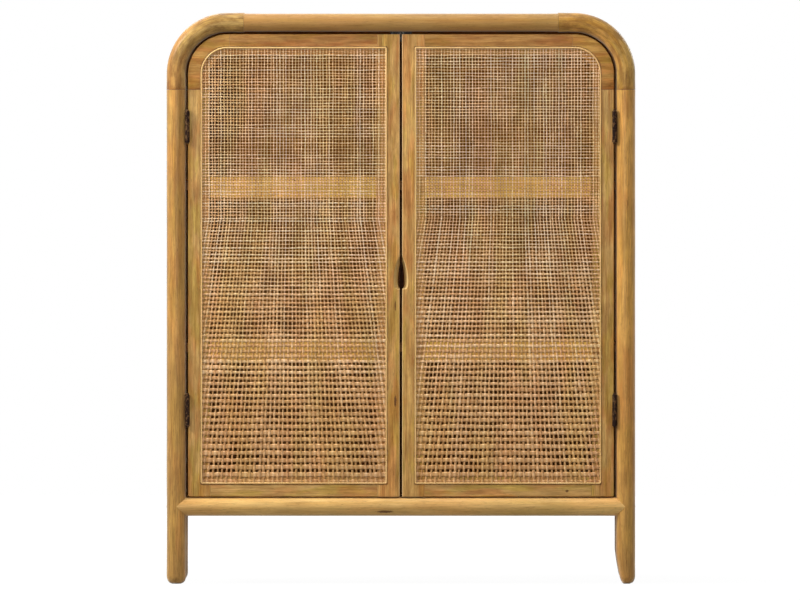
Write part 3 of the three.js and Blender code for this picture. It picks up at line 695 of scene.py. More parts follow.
def pole_rings(along, radii, centres, across, upward, seed):
    """The skin of a round pole, in rings set square to its line, and the straightened place of each point."""
    cos, sin = np.cos(ANGLES), np.sin(ANGLES)
    spread = across[..., None, :] * cos[:, None] + upward[..., None, :] * sin[:, None]
    rings = centres[:, None, :] + spread * radii[:, :, None]
    run = np.repeat(along[:, None] + GRAIN_SHIFT * seed, POLE_SIDES, axis=1)
    return rings, np.stack([radii * cos, radii * sin, run], axis=2)


def add_pole(name, material, slot, rings, straight):
    add_piece(name + "_pole", tube(name + "_pole", rings, straight), material, "carcass", slot, name)


def shave_foot(rings):
    """The right feet are shaved on the side that faces the left ones."""
    fall = np.clip(1 - rings[:, :, 2] / SHAVED_HEIGHT, 0, 1) ** SHAVED_CURVE
    rings[:, :, 0] -= np.minimum(rings[:, :, 0] - POST_X, 0) * fall * SHAVED_SHARE


def make_posts():
    """Front and rear posts, which run down to the floor as legs with rounded feet."""
    foot = np.linspace(0, FOOT_HEIGHT, 8)
    along = np.concatenate([foot, stations(POST_TOP - FOOT_HEIGHT, POLE_STEP)[1:] + FOOT_HEIGHT])
    rounding = FOOT_INSET * (1 - np.sqrt(1 - np.clip(1 - along / FOOT_HEIGHT, 0, 1) ** 2))
    rounding[-1] = BROKEN_EDGE
    for end_name, end in ENDS.items():
        for side_name, side in SIDES.items():
            seed = 11 + 2 * side + 5 * end
            radii = POST_RADIUS - hollows(along, POST_TOP, seed) - rounding[:, None]
            centres = lined_up(side * POST_X, end * POST_Y, along)
            rings, straight = pole_rings(along, radii, centres, RIGHTWARD, BACKWARD, seed)
            if side_name == "right":
                shave_foot(rings)
            add_pole(f"{end_name}_{side_name}_post", POST[side_name], "pole", rings, straight)


def round_shoulder(run, leg, radius, reach):
    """X, Z and turn of a line that runs up a side for a leg, round the shoulder and in along the top."""
    turn = np.clip((run - leg) / radius, 0, math.pi / 2)
    x = BEND_CENTRE_X + reach * np.cos(turn) - np.maximum(run - leg - radius * math.pi / 2, 0)
    z = BEND_CENTRE_Z + reach * np.sin(turn) + np.minimum(run - leg, 0)
    return x, z, turn


def make_bends():
    length = BEND_RADIUS * math.pi / 2 + 2 * BEND_LEG
    along = stations(length, BEND_STEP)
    x, z, turn = round_shoulder(along, BEND_LEG, BEND_RADIUS, BEND_RADIUS)
    for end_name, end in ENDS.items():
        for side_name, side in SIDES.items():
            seed = 29 + 2 * side + 5 * end
            radii = pole_radii(along, length, POST_RADIUS, seed)
            centres = lined_up(side * x, end * POST_Y, z)
            across = lined_up(side * np.cos(turn), 0, np.sin(turn))
            add_pole(f"{end_name}_{side_name}_bend", BENT_POLE[side_name], "bent_pole",
                     *pole_rings(along, radii, centres, across, BACKWARD, seed))


def make_top_poles():
    length = 2 * TOP_POLE_REACH
    along = stations(length, POLE_STEP)
    for end_name, end in ENDS.items():
        radii = pole_radii(along, length, TOP_POLE_RADIUS, 47 + end)
        centres = lined_up(along - TOP_POLE_REACH, end * TOP_POLE_Y, TOP_POLE_Z)
        add_pole(end_name + "_top_pole", TOP_POLE, "pole",
                 *pole_rings(along, radii, centres, BACKWARD, UPWARD, 47 + end))


def pole_face(offset, radius=POST_RADIUS):
    """How far a pole's surface stands out from its axis, at an offset across it."""
    return np.sqrt(np.maximum(radius ** 2 - offset ** 2, 0))


def coped_pole(name, middle, reach, seed, along_x):
    length = 2 * float(reach.max())
    along = stations(length, BOTTOM_POLE_STEP)
    radii = pole_radii(along, length, BOTTOM_POLE_RADIUS, seed, BOTTOM_HOLLOW_DEPTH)
    share = (along / length * 2 - 1)[:, None] * reach[None, :]
    wide, high = radii * np.cos(ANGLES), radii * np.sin(ANGLES)
    x, y = middle
    level = (share + x, wide + y) if along_x else (x - wide, share + y)
    add_pole(name, BOTTOM_POLE, "pole", np.stack([*level, high + BOTTOM_POLE_Z], axis=2),
             np.stack([wide, high, share + GRAIN_SHIFT * seed], axis=2))


def make_bottom_poles():
    """Bottom poles, whose ends are coped to the round posts."""
    y, z = BOTTOM_POLE_RADIUS * np.cos(ANGLES), BOTTOM_POLE_RADIUS * np.sin(ANGLES)
    for end_name, end in ENDS.items():
        reach = POST_X - pole_face(y + end * (BOTTOM_POLE_Y - POST_Y)) - POLE_GAP
        coped_pole(end_name + "_bottom_pole", (0, end * BOTTOM_POLE_Y), reach, 61 + end, along_x=True)
    for side_name, side in SIDES.items():
        off = -y + side * (BOTTOM_POLE_X - POST_X)
        to_posts = POST_Y - pole_face(off)
        to_poles = BOTTOM_POLE_Y - pole_face(z, BOTTOM_POLE_RADIUS)
        reach = np.where(side * off < 0, np.minimum(to_posts, to_poles), to_posts) - POLE_GAP
        coped_pole(side_name + "_bottom_pole", (side * BOTTOM_POLE_X, 0), reach, 71 + side, along_x=False)


make_posts()
make_bends()
make_top_poles()
make_bottom_poles()


# ---- Copies of CAD pieces with finer shading ----

def even_faces(piece):
    piece.modifiers.new("even_faces", "WEIGHTED_NORMAL").keep_sharp = True


def refined(node_name, material, body, slot, angle, edge=0.0):
    """A copy of a CAD piece with its corners joined, smooth where it is round, and its edges broken."""
    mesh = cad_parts[node_name].data.copy()
    tidy_normals(mesh, merge=0.01 * MM)
    if edge:
        with opened(mesh) as shape:
            bmesh.ops.dissolve_limit(shape, angle_limit=math.radians(1), verts=shape.verts,
                                     edges=shape.edges)
            crisp = [e for e in shape.edges if e.calc_face_angle(0) > math.radians(angle)]
            bmesh.ops.bevel(shape, geom=crisp, offset=edge, segments=2, profile=0.5, affect="EDGES",
                            clamp_overlap=True)
    smooth_up_to(mesh, angle)
    piece = add_piece(node_name + "_fine", mesh, material, body, slot, node_name)
    if not edge:
        even_faces(piece)


def finish_node(node_name, material):
    """Gives a CAD piece that stays as it is its material."""
    finish_mesh(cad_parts[node_name].data, material)


def make_back_panel():
    """The back, whose edges sit in shallow grooves in the rear poles."""
    x = POST_X - POST_RADIUS + BACK_GROOVE
    radius = x - BEND_CENTRE_X
    outline = [(x, BOTTOM_POLE_Z + BOTTOM_POLE_RADIUS - BACK_GROOVE)]
    for turn in np.linspace(0, math.pi / 2, 16):
        outline.append((BEND_CENTRE_X + radius * math.cos(turn), BEND_CENTRE_Z + radius * math.sin(turn)))
    outline += [(-across, height) for across, height in outline[::-1]]
    low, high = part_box("back_panel")
    rings = np.array([[(across, y, height) for across, height in outline] for y in (low[1], high[1])])
    mesh = tube("back_panel_fine", rings, rings)
    add_piece("back_panel_fine", mesh, BACK_PANEL, "carcass", "panel", "back_panel")


make_back_panel()
for board in ("top_panel", "floor_panel", "lower_shelf", "upper_shelf"):
    finish_node(board, PANEL["x"])
for side_name in SIDES:
    door = side_name + "_door"
    refined(side_name + "_side_panel", PANEL["z"], "carcass", "panel", 30)
    for level in HINGE_HEIGHTS:
        finish_node(f"{side_name}_{level}_shelf_cleat", PANEL["y"])
        finish_node(f"{door}_{level}_cross_rail", CROSS_RAIL)
        hinge = f"{side_name}_{level}_hinge_"
        refined(hinge + "post_leaf", BRONZE, "carcass", "dark_bronze", 35)
        refined(hinge + "door_leaf", BRONZE, door, "dark_bronze", 35)
        refined(hinge + "pin", BRONZE, "carcass", "dark_bronze", 60)
    finish_node(door + "_hinge_stile", HINGE_STILE)
    finish_node(door + "_top_rail", TOP_RAIL)
    finish_node(door + "_bottom_rail", BOTTOM_RAIL)
    refined(side_name + "_strike_plate", STEEL, door, "catch_steel", 50, edge=0.3 * MM)
refined("magnetic_catch", STEEL, "carcass", "catch_steel", 50, edge=0.5 * MM)


# ---- Corner blocks and meeting stiles ----

def corner_path(inset, steps=20):
    """Points and outward directions round a door's top outer corner, drawn back by an inset."""
    radius = DOOR_OUTER_X - BEND_CENTRE_X - inset
    line = [((BEND_CENTRE_X + radius, BEND_CENTRE_Z - CORNER_BLOCK_LEG), (1.0, 0.0))]
    for turn in np.linspace(0, math.pi / 2, steps):
        x, z = math.cos(turn), math.sin(turn)
        line.append(((BEND_CENTRE_X + radius * x, BEND_CENTRE_Z + radius * z), (x, z)))
    line.append(((BEND_CENTRE_X - CORNER_BLOCK_TOP_LEG, BEND_CENTRE_Z + radius), (0.0, 1.0)))
    return line


def rounded_corner(corner, first, second, radius, steps=3):
    """Points of a rounded corner between two directions that leave it."""
    corner, first, second = (np.array(value, float) for value in (corner, first, second))
    centre = corner + (first + second) * radius
    turns = np.linspace(0, math.pi / 2, steps + 1)
    return [tuple(centre - second * radius * math.cos(t) - first * radius * math.sin(t)) for t in turns]


def frame_section():
    """The stepped section of a door's frame: depth from its outer edge, and Y."""
    step_y = DOOR_FRONT_Y + REBATE_DEPTH
    section = [(FRAME_WIDTH, step_y)]
    section += rounded_corner((FRAME_WIDTH, DOOR_BACK_Y), (0, -1), (-1, 0), EDGE_ROUNDING)
    section += rounded_corner((0, DOOR_BACK_Y), (0, -1), (1, 0), EDGE_ROUNDING)[::-1]
    section += rounded_corner((0, DOOR_FRONT_Y), (0, 1), (1, 0), EDGE_ROUNDING)
    return section + [(BORDER_WIDTH, DOOR_FRONT_Y), (BORDER_WIDTH, step_y)]


def swept(side, line, section):
    """Rings of a section that follows a line round a door."""
    return np.array([[(side * (x - nx * depth), y, z - nz * depth) for depth, y in section]
                     for (x, z), (nx, nz) in line])


def make_corner_blocks():
    for side_name, side in SIDES.items():
        rings = swept(side, corner_path(0), frame_section())
        name = side_name + "_door_corner_block"
        mesh = tube(name + "_fine", rings, rings)
        add_piece(name + "_fine", mesh, CORNER, side_name + "_door", "door_frame", name)


def teardrop(x, reach, rise, drop):
    """The outline of a teardrop with its tip up, from the tip clockwise."""
    t = np.linspace(0, 1, 18)[:, None]
    tip, shoulder, waist = np.array([(0, rise), (reach * 0.95, rise * 0.5), (reach, 0)])
    low, chin, bottom = np.array([(reach, -drop), (reach * 0.75, -drop), (0, -drop)])
    upper = (1 - t) ** 2 * tip + 2 * t * (1 - t) * shoulder + t ** 2 * waist
    lower = (1 - t) ** 3 * waist + 3 * t * (1 - t) ** 2 * low + 3 * t ** 2 * (1 - t) * chin + t ** 3 * bottom
    half = np.concatenate([upper, lower[1:]])
    return np.concatenate([half, half[-2:0:-1] * [-1, 1]]) + [x, PULL_Z]


def pull_cutter():
    """A solid with the shape of the finger pull: a hole that flares towards the front."""
    rim, hole = teardrop(**PULL_RIM), teardrop(**PULL_HOLE)
    front, lip = PULL_OPENINGS
    levels = [(DOOR_FRONT_Y - CUTTER_OVERREACH, front), (DOOR_FRONT_Y, front), (DOOR_FRONT_Y + PULL_LIP, lip)]
    levels += [(DOOR_FRONT_Y + PULL_FLARE_DEPTH * share, lip * (1 - share)) for share in (0.35, 0.7, 1)]
    levels.append((DOOR_BACK_Y + CUTTER_OVERREACH, 0.0))
    rings = np.array([[(x, y, z) for x, z in hole + (rim - hole) * opening] for y, opening in levels])
    return tube("pull_cutter", rings, rings)


def rebate_cutter(side):
    """A solid with the shape of the step that holds the cane in a meeting stile."""
    inner, outer = DOOR_INNER_X + BORDER_WIDTH, DOOR_INNER_X + STILE_WIDTH + CUTTER_SIDE_OVERREACH
    low, high = DOOR_BOTTOM + BORDER_WIDTH, DOOR_TOP - BORDER_WIDTH
    outline = [(outer, low), (outer, high)]
    outline += rounded_corner((inner, high), (0, -1), (1, 0), REBATE_CORNER)[::-1]
    outline += rounded_corner((inner, low), (0, 1), (1, 0), REBATE_CORNER)
    rings = np.array([[(side * x, y, z) for x, z in outline]
                      for y in (DOOR_FRONT_Y - CUTTER_OVERREACH, DOOR_FRONT_Y + REBATE_DEPTH)])
    return tube("rebate_cutter", rings, rings)


def carve(mesh, cutters):
    """A mesh with solids cut out of it."""
    stock = linked("stock", mesh)
    tools = [linked("tool", cutter) for cutter in cutters]
    for tool in tools:
        cut = stock.modifiers.new("cut", "BOOLEAN")
        cut.operation = "DIFFERENCE"
        cut.object = tool
    carved = settled(stock)
    for tool in tools:
        bpy.data.objects.remove(tool)
    return carved


def make_meeting_stiles():
    inner, outer = DOOR_INNER_X, DOOR_INNER_X + STILE_WIDTH
    section = rounded_corner((inner, DOOR_BACK_Y), (0, -1), (1, 0), EDGE_ROUNDING)[::-1]
    section += rounded_corner((inner, DOOR_FRONT_Y), (0, 1), (1, 0), EDGE_ROUNDING)
    section += [(outer, DOOR_FRONT_Y), (outer, DOOR_BACK_Y)]
    for side_name, side in SIDES.items():
        rings = np.array([[(side * x, y, z) for x, y in section] for z in (DOOR_BOTTOM, DOOR_TOP)])
        mesh = carve(tube("stock", rings, rings), [pull_cutter(), rebate_cutter(side)])
        tidy_normals(mesh)
        smooth_up_to(mesh, STILE_SHARP_TURN)
        name = side_name + "_door_meeting_stile"
        even_faces(add_piece(name + "_fine", mesh, MEETING_STILE, side_name + "_door", "door_frame", name))


make_corner_blocks()
make_meeting_stiles()


# ---- Woven cane ----

WEAVE_INPUTS = {
    "Strands": 55, "Segments": 220, "Side": 1.0, "First Strand": 0.0, "Strand Pitch": STRAND_PITCH,
    "Strand Width": STRAND_WIDTH, "Top Row": 1.0, "Row Pitch": 0.0065, "Even Rows": 50.0, "Opening": 0.01,
    "Row Width": ROW_WIDTH, "Fan": 0.001, "Fan Middle": 0.0, "Fan Start": -1.0, "Fan Limit": 1.0,
    "Inner Edge": 0.0, "Lower Edge": 0.0, "Arc Across": 0.4, "Arc Height": 1.0, "Arc Radius": 0.0,
    "Thickness": CANE_THICKNESS, "Lift": CANE_LIFT, "Middle Depth": 0.0, "Wander": 0.002,
    "Uneven Width": 0.6, "Widening": 0.0, "Fineness": 0.0, "Seed": 3, "Finish": MATERIAL,
}
STRAND_SIDES = 6
WIDTH_RANGE = (0.85, 1.1)
WARP_STRAY, WEFT_STRAY = 0.6 * MM, 0.4 * MM
FINE_ROWS = (28.0, 58.0)
WEFT_FILL = 0.86    # how much of the spare room between open rows their strands take up
CLOSE_ROW_TONE, DULLED_BY, DULLED_LIMIT = 1.22, 0.58, 1.3
WANDER_PACE = 16.0  # the scale of a strand's bends
PATCH_PACE = 26.0   # the scale of the patches of wider and narrower strands
STRAND_SHIFT = 1.7  # metres along the grain from one strand to the next


def bare_strands(given):
    """A thin bar for each strand, all in one place, and the sockets that tell them apart."""
    bar = node("GeometryNodeMeshCylinder", {
        "Vertices": STRAND_SIDES, "Side Segments": given.segments, "Radius": 1.0, "Depth": 1.0}, "Mesh")
    points = node("GeometryNodePoints", {"Count": given.strands})
    marked = stored(points, "strand", node("GeometryNodeInputIndex", tree=given.tree), "INT")
    spread = node("GeometryNodeInstanceOnPoints", {"Points": marked, "Instance": bar})
    bars = node("GeometryNodeRealizeInstances", {0: spread})
    strand = node("GeometryNodeInputNamedAttribute", {"Name": "strand"}, tree=given.tree, data_type="INT")
    wide, thick, run = node("GeometryNodeInputPosition", tree=given.tree).parts()
    return bars, strand, wide, thick, run + 0.5


def stored(geometry, label, value, data_type="FLOAT"):
    return node("GeometryNodeStoreNamedAttribute",
                {"Geometry": geometry, "Name": label, "Value": value}, data_type=data_type)


def chance(low, high, strand, seed):
    return node("FunctionNodeRandomValue", {2: low, 3: high, "ID": strand, "Seed": seed}, 1,
                data_type="FLOAT")


def laid_strands(bars, given, position, straight, tone, turns):
    """Strands with their final shape and finish, and the values that their material reads."""
    bars = stored(bars, "straight", straight, "FLOAT_VECTOR")
    bars = stored(bars, "tone", tone)
    bars = stored(bars, "turns", turns)
    laid = node("GeometryNodeSetPosition", {"Geometry": bars, "Position": position})
    smooth = node("GeometryNodeSetShadeSmooth", {0: laid})
    return finished(smooth, given.finish)


def finished(geometry, material):
    whole = node("GeometryNodeRealizeInstances", {0: geometry})
    return {"Geometry": node("GeometryNodeSetMaterial", {"Geometry": whole, "Material": material})}


def wandering(given, strand, along, offset):
    """How far a strand strays to one side of its line, at a distance along it. Neighbours stray together."""
    spot = vector_of(strand * 0.5 + offset, along * WANDER_PACE, given.seed + 0.5)
    return (spot.noise(1.0) - 0.5) * given.wander * 2


def plumpness(given, across, height):
    """How wide the strands are in each patch of the weave, as a share of their usual width."""
    spot = vector_of(across * PATCH_PACE, height * PATCH_PACE, given.seed + 3.5)
    return 1 + (spot.noise(1.0, 3.0) - 0.5) * given.uneven_width * 2


def fineness(given, row):
    """The share of its width that a strand keeps: the close rows' strands are finer."""
    return 1 - given.fineness * (1 - row.rise(*FINE_ROWS))


def strand_tone(given, strand, seed, pitch):
    """The tone of a strand: pale where the rows stand close, duller where they have opened out."""
    tone = chance(0.0, 1.0, strand, given.seed + seed)
    opened_out = (pitch / given.row_pitch - 1).at_most(DULLED_LIMIT)
    return (tone * 0.8 + 0.2) * (CLOSE_ROW_TONE - opened_out * DULLED_BY)


def crossing_lift(given, turns):
    """How far a strand rises at even counts of what it crosses, and dips at odd ones."""
    return (turns * math.pi).reckon("COSINE") * given.lift


def row_place(given, row):
    """The height and the pitch of a row. Below the even rows they open out more and more."""
    past = (row - given.even_rows).at_least(0.0)
    growth = (past * given.opening).reckon("EXPONENT")
    opened_out = (growth - 1) / given.opening
    return given.top_row - (row - past + opened_out) * given.row_pitch, given.row_pitch * growth


def fan_at(given, height):
    """How far the upright strands stand apart at a height, as a multiple of their pitch at the top."""
    return 1 + (given.fan_start - height).at_least(0.0) * given.fan


def last_row(given, aside):
    """The row at which an upright strand ends: the lowest, or where the fan takes it past the edge."""
    most = given.fan_limit / aside.reckon("ABSOLUTE").at_least(MM)
    leaves = given.fan_start - (most - 1) / given.fan
    lowest = given.lower_edge.at_least(leaves)
    below = given.top_row - given.even_rows * given.row_pitch - lowest
    growth = 1 + below.at_least(0.0) * given.opening / given.row_pitch
    return given.even_rows + growth.reckon("LOGARITHM", math.e) / given.opening


def on_arc(start, arc_start, radius):
    """How far an outline with a rounded corner reaches, at a distance along its other edge."""
    past = (start - arc_start).at_least(0.0)
    return (radius * radius - past * past).at_least(0.0).reckon("SQRT")


def warp(given):
    """The upright strands of a plain weave, trimmed to a panel with one rounded corner."""
    bars, strand, wide, thick, run = bare_strands(given)
    stray = chance(-WARP_STRAY, WARP_STRAY, strand, given.seed)
    start = given.first_strand + strand * given.strand_pitch + stray
    reach = given.arc_height + on_arc(start, given.arc_across, given.arc_radius)
    first = (given.top_row - reach) / given.row_pitch
    aside = start - given.fan_middle
    row = first + run * (last_row(given, aside) - first)
    height, pitch = row_place(given, row)
    depth = given.middle_depth - crossing_lift(given, row + strand)
    across = given.fan_middle + aside * fan_at(given, height) + wandering(given, strand, height, 0.3)
    width = given.strand_width * chance(*WIDTH_RANGE, strand, given.seed + 1) / 2
    width = width * plumpness(given, across, height)
    width = width * (1 + (pitch - given.row_pitch) * given.widening) * fineness(given, row)
    position = vector_of(given.side * across - wide * width, depth + thick * given.thickness / 2, height)
    straight = vector_of(wide * width, thick * given.thickness, height + strand * STRAND_SHIFT)
    tone = strand_tone(given, strand, 2, pitch)
    return laid_strands(bars, given, position, straight, tone, row)


def weft(given):
    """The level strands of a plain weave, trimmed to a panel with one rounded corner."""
    bars, strand, wide, thick, run = bare_strands(given)
    stray = chance(-WEFT_STRAY, WEFT_STRAY, strand, given.seed + 5)
    height, pitch = row_place(given, strand)
    height = height + stray
    outer = given.arc_across + on_arc(height, given.arc_height, given.arc_radius)
    across = given.inner_edge + run * (outer - given.inner_edge)
    start = given.fan_middle + (across - given.fan_middle) / fan_at(given, height)
    column = (start - given.first_strand) / given.strand_pitch
    depth = given.middle_depth + crossing_lift(given, column + strand)
    spare = pitch - given.row_pitch
    width = (given.row_width * chance(*WIDTH_RANGE, strand, given.seed + 6) + spare * WEFT_FILL) / 2
    width = width * plumpness(given, across, height) * fineness(given, strand)
    strayed = height + wandering(given, strand, across, 0.7)
    position = vector_of(given.side * across, depth + thick * given.thickness / 2,
                         strayed - given.side * wide * width)
    straight = vector_of(wide * width, thick * given.thickness, across + strand * STRAND_SHIFT)
    tone = strand_tone(given, strand, 7, pitch)
    return laid_strands(bars, given, position, straight, tone, column)


WARP = new_group("cane_warp", "GeometryNodeTree", WEAVE_INPUTS, warp, GEOMETRY)
WEFT = new_group("cane_weft", "GeometryNodeTree", WEAVE_INPUTS, weft, GEOMETRY)


def weave(name, body, columns, rows, values, lay=None):
    """Adds a webbing's upright and level strands, which replace its sheet."""
    for kind, tree, strands, crossed in (("_warp", WARP, columns, rows), ("_weft", WEFT, rows, columns)):
        mesh = grown(name + kind, bpy.data.meshes.new(name + kind), tree,
                     {**values, "Strands": strands, "Segments": 2 * crossed, "Finish": CANE})
        if lay:
            lay(mesh)
        add_piece(name + kind, mesh, CANE, body, "cane_webbing", name)


# The doors' rows open out towards the bottom, and their upright strands fan out, as in the photograph.
DOOR_ROW_PITCH = 6.45 * MM
DOOR_TOP_ROW = DOOR_TOP - CANE_INSET - 6 * MM
DOOR_EVEN_ROWS = 56
DOOR_OPENING = 0.0165
DOOR_FAN = 0.92
DOOR_WIDENING, DOOR_FINENESS = 115.0, 0.12
DOOR_FAN_START = DOOR_TOP_ROW - DOOR_EVEN_ROWS * DOOR_ROW_PITCH
DOOR_CANE_MARGINS, SIDE_CANE_MARGINS, FAN_MARGIN = 8 * MM, 6 * MM, 2 * MM


def make_door_cane():
    inner, outer = DOOR_INNER_X + CANE_INSET, DOOR_OUTER_X - CANE_INSET
    middle, bottom = (inner + outer) / 2, DOOR_BOTTOM + CANE_INSET
    columns = int((outer - inner - DOOR_CANE_MARGINS) / STRAND_PITCH) + 1
    growth = 1 + (DOOR_FAN_START - bottom) * DOOR_OPENING / DOOR_ROW_PITCH
    rows = int(DOOR_EVEN_ROWS + math.log(growth) / DOOR_OPENING) + 1
    for side_name, side in SIDES.items():
        weave(side_name + "_door_webbing", side_name + "_door", columns, rows, {
            "Side": side, "Seed": 3 + side, "Middle Depth": CANE_MIDDLE_Y,
            "First Strand": (inner + outer - (columns - 1) * STRAND_PITCH) / 2,
            "Top Row": DOOR_TOP_ROW, "Row Pitch": DOOR_ROW_PITCH,
            "Even Rows": float(DOOR_EVEN_ROWS), "Opening": DOOR_OPENING,
            "Fan": DOOR_FAN, "Fan Middle": middle, "Fan Start": DOOR_FAN_START,
            "Fan Limit": outer - middle - FAN_MARGIN, "Widening": DOOR_WIDENING, "Fineness": DOOR_FINENESS,
            "Inner Edge": inner + CANE_EDGE_GAP, "Lower Edge": bottom, "Arc Across": BEND_CENTRE_X,
            "Arc Height": BEND_CENTRE_Z, "Arc Radius": outer - BEND_CENTRE_X - CANE_EDGE_GAP,
        })


def over_shoulder(mesh, side):
    """Lays a flat weave on a side of the cabinet: up the side, round its shoulder and in to the top panel."""
    flat = np.empty(len(mesh.vertices) * 3, np.float32)
    mesh.vertices.foreach_get("co", flat)
    across, depth, up = flat.reshape(-1, 3).T.astype(float)
    x, z, _ = round_shoulder(up, BEND_CENTRE_Z - SIDE_CANE_BOTTOM, SIDE_SKIN_RADIUS, SIDE_SKIN_RADIUS - depth)
    laid = np.column_stack([side * x, side * across, z])
    mesh.vertices.foreach_set("co", laid.astype(np.float32).ravel())
    mesh.update()


def make_side_cane():
    length = BEND_CENTRE_Z - SIDE_CANE_BOTTOM + SIDE_SKIN_RADIUS * math.pi / 2 + BEND_LEG
    columns = int((2 * SIDE_CANE_REACH - SIDE_CANE_MARGINS) / STRAND_PITCH) + 1
    rows = int((length - SIDE_CANE_MARGINS) / STRAND_PITCH)
    for side_name, side in SIDES.items():
        weave(side_name + "_side_webbing", "carcass", columns, rows, {
            "Seed": 40 + side, "First Strand": -(columns - 1) * STRAND_PITCH / 2,
            "Top Row": length - 3 * MM, "Row Pitch": STRAND_PITCH, "Even Rows": float(rows),
            "Inner Edge": -SIDE_CANE_REACH, "Arc Across": SIDE_CANE_REACH, "Arc Height": length - 0.5 * MM,
        }, lambda mesh: over_shoulder(mesh, side))


make_door_cane()
make_side_cane()


# ---- Beads ----

def bead_line(inset, corner):
    """Points and outward directions round a door, drawn back by an inset, with small rounded corners."""
    line = corner_path(inset)[1:-1]
    left, right = DOOR_INNER_X + inset + corner, DOOR_OUTER_X - inset - corner
    high, low = DOOR_TOP - inset - corner, DOOR_BOTTOM + inset + corner
    for x, z, start in ((left, high, 90), (left, low, 180), (right, low, 270)):
        for degrees in np.linspace(start, start + 90, 6):
            nx, nz = math.cos(math.radians(degrees)), math.sin(math.radians(degrees))
            line.append(((x + corner * nx, z + corner * nz), (nx, nz)))
    return line


def make_beads():
    """Split cane round each webbing: domed in front and flat behind."""
    section = [(-BEAD_HALF_WIDTH * math.cos(t), BEAD_BACK_Y - BEAD_HEIGHT * math.sin(t) ** 0.8)
               for t in np.linspace(0, math.pi, 9)] + [(0.0, BEAD_BACK_Y)]
    corners = np.array(bead_line(BEAD_INSET, BEAD_CORNER))
    line = []
    for here, there in zip(corners, np.roll(corners, -1, axis=0)):
        steps = max(1, int(math.hypot(*(there - here)[0]) / BEAD_STEP))
        line += [here + (there - here) * (step / steps) for step in range(steps)]
    strides = [math.dist(here[0], there[0]) for here, there in zip(line, line[1:])]
    run = np.concatenate([[0.0], np.cumsum(strides)])
    for side_name, side in SIDES.items():
        straight = np.array([[(depth, y, along + 5 * side) for depth, y in section] for along in run])
        name = side_name + "_door_bead"
        mesh = tube(name + "_fine", swept(side, line, section), straight, closed=True)
        add_piece(name + "_fine", mesh, BEAD, side_name + "_door", "cane_bead", name)


make_beads()


# ---- Screws ----

QUARTER_TURN = 1.57


def screw_heads(given):
    """Countersunk screw heads, one on each point, turned to face the way that the point says."""
    head = node("GeometryNodeMeshCone", {
        "Vertices": given.sides, "Radius Top": given.head_radius * 0.72, "Radius Bottom": given.head_radius,
        "Depth": given.head_height}, "Mesh")
    long, short = given.head_radius * 1.3, given.slot_width
    for x, y in ((long, short), (short, long)):
        bar = node("GeometryNodeMeshCube", {"Size": vector_of(x, y, given.slot_depth)}, "Mesh")
        raised = node("GeometryNodeTransform", {
            "Geometry": bar, "Translation": vector_of(0.0, 0.0, given.head_height)})
        head = node("GeometryNodeMeshBoolean", {0: head, 1: raised}, operation="DIFFERENCE")
    facing = node("GeometryNodeInputNamedAttribute", {"Name": "facing"}, tree=given.tree,
                  data_type="FLOAT_VECTOR")
    spin = chance(0.0, QUARTER_TURN, node("GeometryNodeInputIndex", tree=given.tree), given.seed)
    spun = node("FunctionNodeEulerToRotation", {0: vector_of(0.0, 0.0, spin)})
    turned = node("FunctionNodeAlignRotationToVector", {"Rotation": spun, "Vector": facing}, axis="Z")
    spread = node("GeometryNodeInstanceOnPoints", {
        "Points": given.geometry, "Instance": head, "Rotation": turned})
    return finished(spread, given.finish)


SCREWS = new_group("countersunk_screws", "GeometryNodeTree", {
    "Geometry": GEOMETRY, "Sides": 14, "Head Radius": 0.0026, "Head Height": 0.0005, "Slot Width": 0.0007,
    "Slot Depth": 0.0006, "Seed": 5, "Finish": MATERIAL,
}, screw_heads, GEOMETRY)


def make_screws(name, places, material, body, slot):
    """Places are points with the directions that the heads face."""
    seats = new_mesh(name, [point for point, _ in places], [])
    keep_vectors(seats, [facing for _, facing in places], "facing")
    mesh = grown(name, seats, SCREWS, {"Finish": material})
    tidy_normals(mesh)
    smooth_up_to(mesh, SCREW_SHARP_TURN)
    add_piece(name, mesh, material, body, slot)


def hinge_screws(side, x, facing):
    """Three screws in each leaf, on the face that shows when the door is open."""
    return [((side * x, y, middle + above), (side * facing, 0, 0))
            for middle in HINGE_HEIGHTS.values() for above, y in HINGE_SCREWS]


for side_name, side in SIDES.items():
    door = side_name + "_door"
    make_screws(door + "_hinge_screws", hinge_screws(side, DOOR_SCREW_X, 1), BRONZE, door, "dark_bronze")
    x, y, z = STRIKE_SCREW
    make_screws(side_name + "_strike_screw", [((side * x, y, z), (0, 1, 0))], STEEL, door, "catch_steel")
make_screws("post_hinge_screws", hinge_screws(-1, POST_SCREW_X, -1) + hinge_screws(1, POST_SCREW_X, -1),
            BRONZE, "carcass", "dark_bronze")


# ---- Camera, lights and floor ----

CAMERA_DISTANCE = 50.0
CAMERA_X, CAMERA_Z = 0.1, 1.2
CAMERA_TARGET = (-0.002, -0.2, 0.6055)
FRAME_PIXELS = 800
PIXELS_PER_METRE = 469
SENSOR_WIDTH = 36
FLOOR_REACH = 9

LAMP_DISTANCE = 3.4
LAMP_TARGET = Vector((0.0, -0.2, 0.65))
WHITE = (1.0, 1.0, 1.0)
# Each lamp's degrees to the left of the front and above level, its width, its power and its colour.
LAMPS = {
    "key": (73, 35, 1.2, 128, (1.0, 0.99, 0.96)),
    "overhead": (0, 75, 1.2, 44, WHITE),
    "right": (-60, 30, 1.2, 17, WHITE),
    "front": (5, 10, 1.8, 31, WHITE),
    "rear": (150, 45, 1.6, 40, WHITE),
    "rear_right": (-135, 25, 1.6, 40, WHITE),
}


def aim(thing, target):
    thing.rotation_euler = (Vector(target) - thing.location).to_track_quat("-Z", "Y").to_euler()


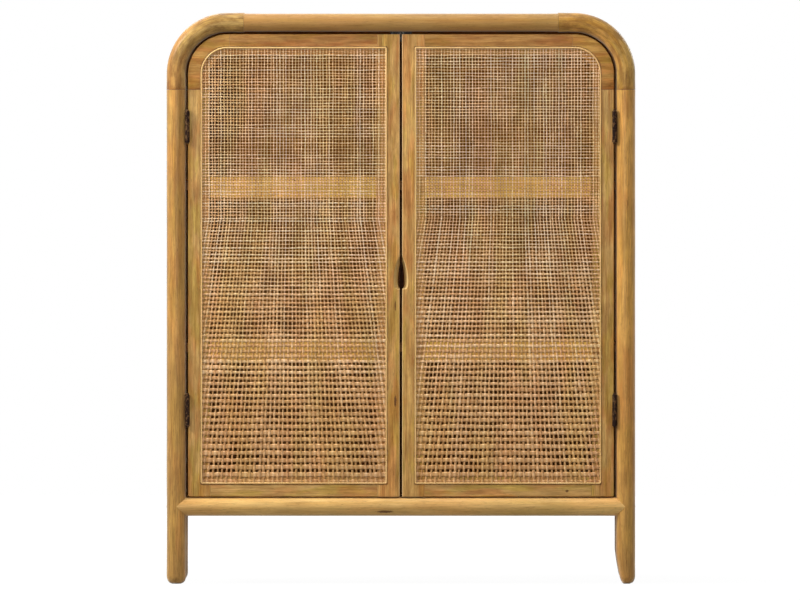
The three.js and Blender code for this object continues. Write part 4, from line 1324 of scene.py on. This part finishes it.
def make_camera():
    lens = bpy.data.cameras.new("camera")
    lens.sensor_width = SENSOR_WIDTH
    lens.lens = lens.sensor_width * CAMERA_DISTANCE * PIXELS_PER_METRE / FRAME_PIXELS
    lens.clip_end = 2 * CAMERA_DISTANCE
    camera = linked("camera", lens)
    camera.location = (CAMERA_X, CAMERA_TARGET[1] - CAMERA_DISTANCE, CAMERA_Z)
    aim(camera, CAMERA_TARGET)
    bpy.context.scene.camera = camera


def make_lamps():
    """Soft round lamps."""
    for name, (turn, height, size, power, colour) in LAMPS.items():
        aside, up = math.radians(turn), math.radians(height)
        level = math.cos(up)
        light = bpy.data.lights.new(name, "AREA")
        light.shape = "DISK"
        light.size = size
        light.energy = power
        light.color = colour
        lamp = linked(name, light)
        direction = Vector((-level * math.sin(aside), -level * math.cos(aside), math.sin(up)))
        lamp.location = LAMP_TARGET + direction * LAMP_DISTANCE
        aim(lamp, LAMP_TARGET)


def seen_directly(tree):
    """1 for rays from the camera, in mirrors and through glass."""
    path = place("ShaderNodeLightPath", tree=tree)
    rays = [Field(tree, path.outputs[f"Is {kind} Ray"]) for kind in ("Camera", "Glossy", "Transmission")]
    return (rays[0] + rays[1] + rays[2]).at_most(1.0)


def make_world():
    world = bpy.data.worlds.new("studio")
    world.use_nodes = True
    bpy.context.scene.world = world
    tree = world.node_tree
    background = tree.nodes["Background"]
    background.inputs["Color"].default_value = (*WHITE, 1.0)
    feed(background.inputs["Strength"], 0.03 + seen_directly(tree) * 0.97)


def make_floor():
    corners = [(x * FLOOR_REACH, y * FLOOR_REACH, 0) for x, y in ((-1, -1), (1, -1), (1, 1), (-1, 1))]
    mesh = new_mesh("floor", corners, [(0, 1, 2, 3)])
    material = bpy.data.materials.new("pale_floor")
    material.use_nodes = True
    tree = material.node_tree
    tree.nodes.clear()
    matte = node("ShaderNodeBsdfDiffuse", {"Color": (0.3, 0.3, 0.3, 1.0)}, tree=tree)
    glow = node("ShaderNodeEmission", {"Color": (*WHITE, 1.0), "Strength": 1.08}, tree=tree)
    away = node("ShaderNodeVectorMath", {0: object_place(tree)}, "Value", operation="LENGTH")
    white = 0.9 + away.rise(0.6, 2.2) * 0.1
    mixed = node("ShaderNodeMixShader", {0: seen_directly(tree) * white, 1: matte, 2: glow})
    place("ShaderNodeOutputMaterial", {"Surface": mixed})
    mesh.materials.append(material)
    linked("floor", mesh)


make_camera()
make_world()
make_floor()
make_lamps()
bpy.context.scene.view_settings.view_transform = "Standard"
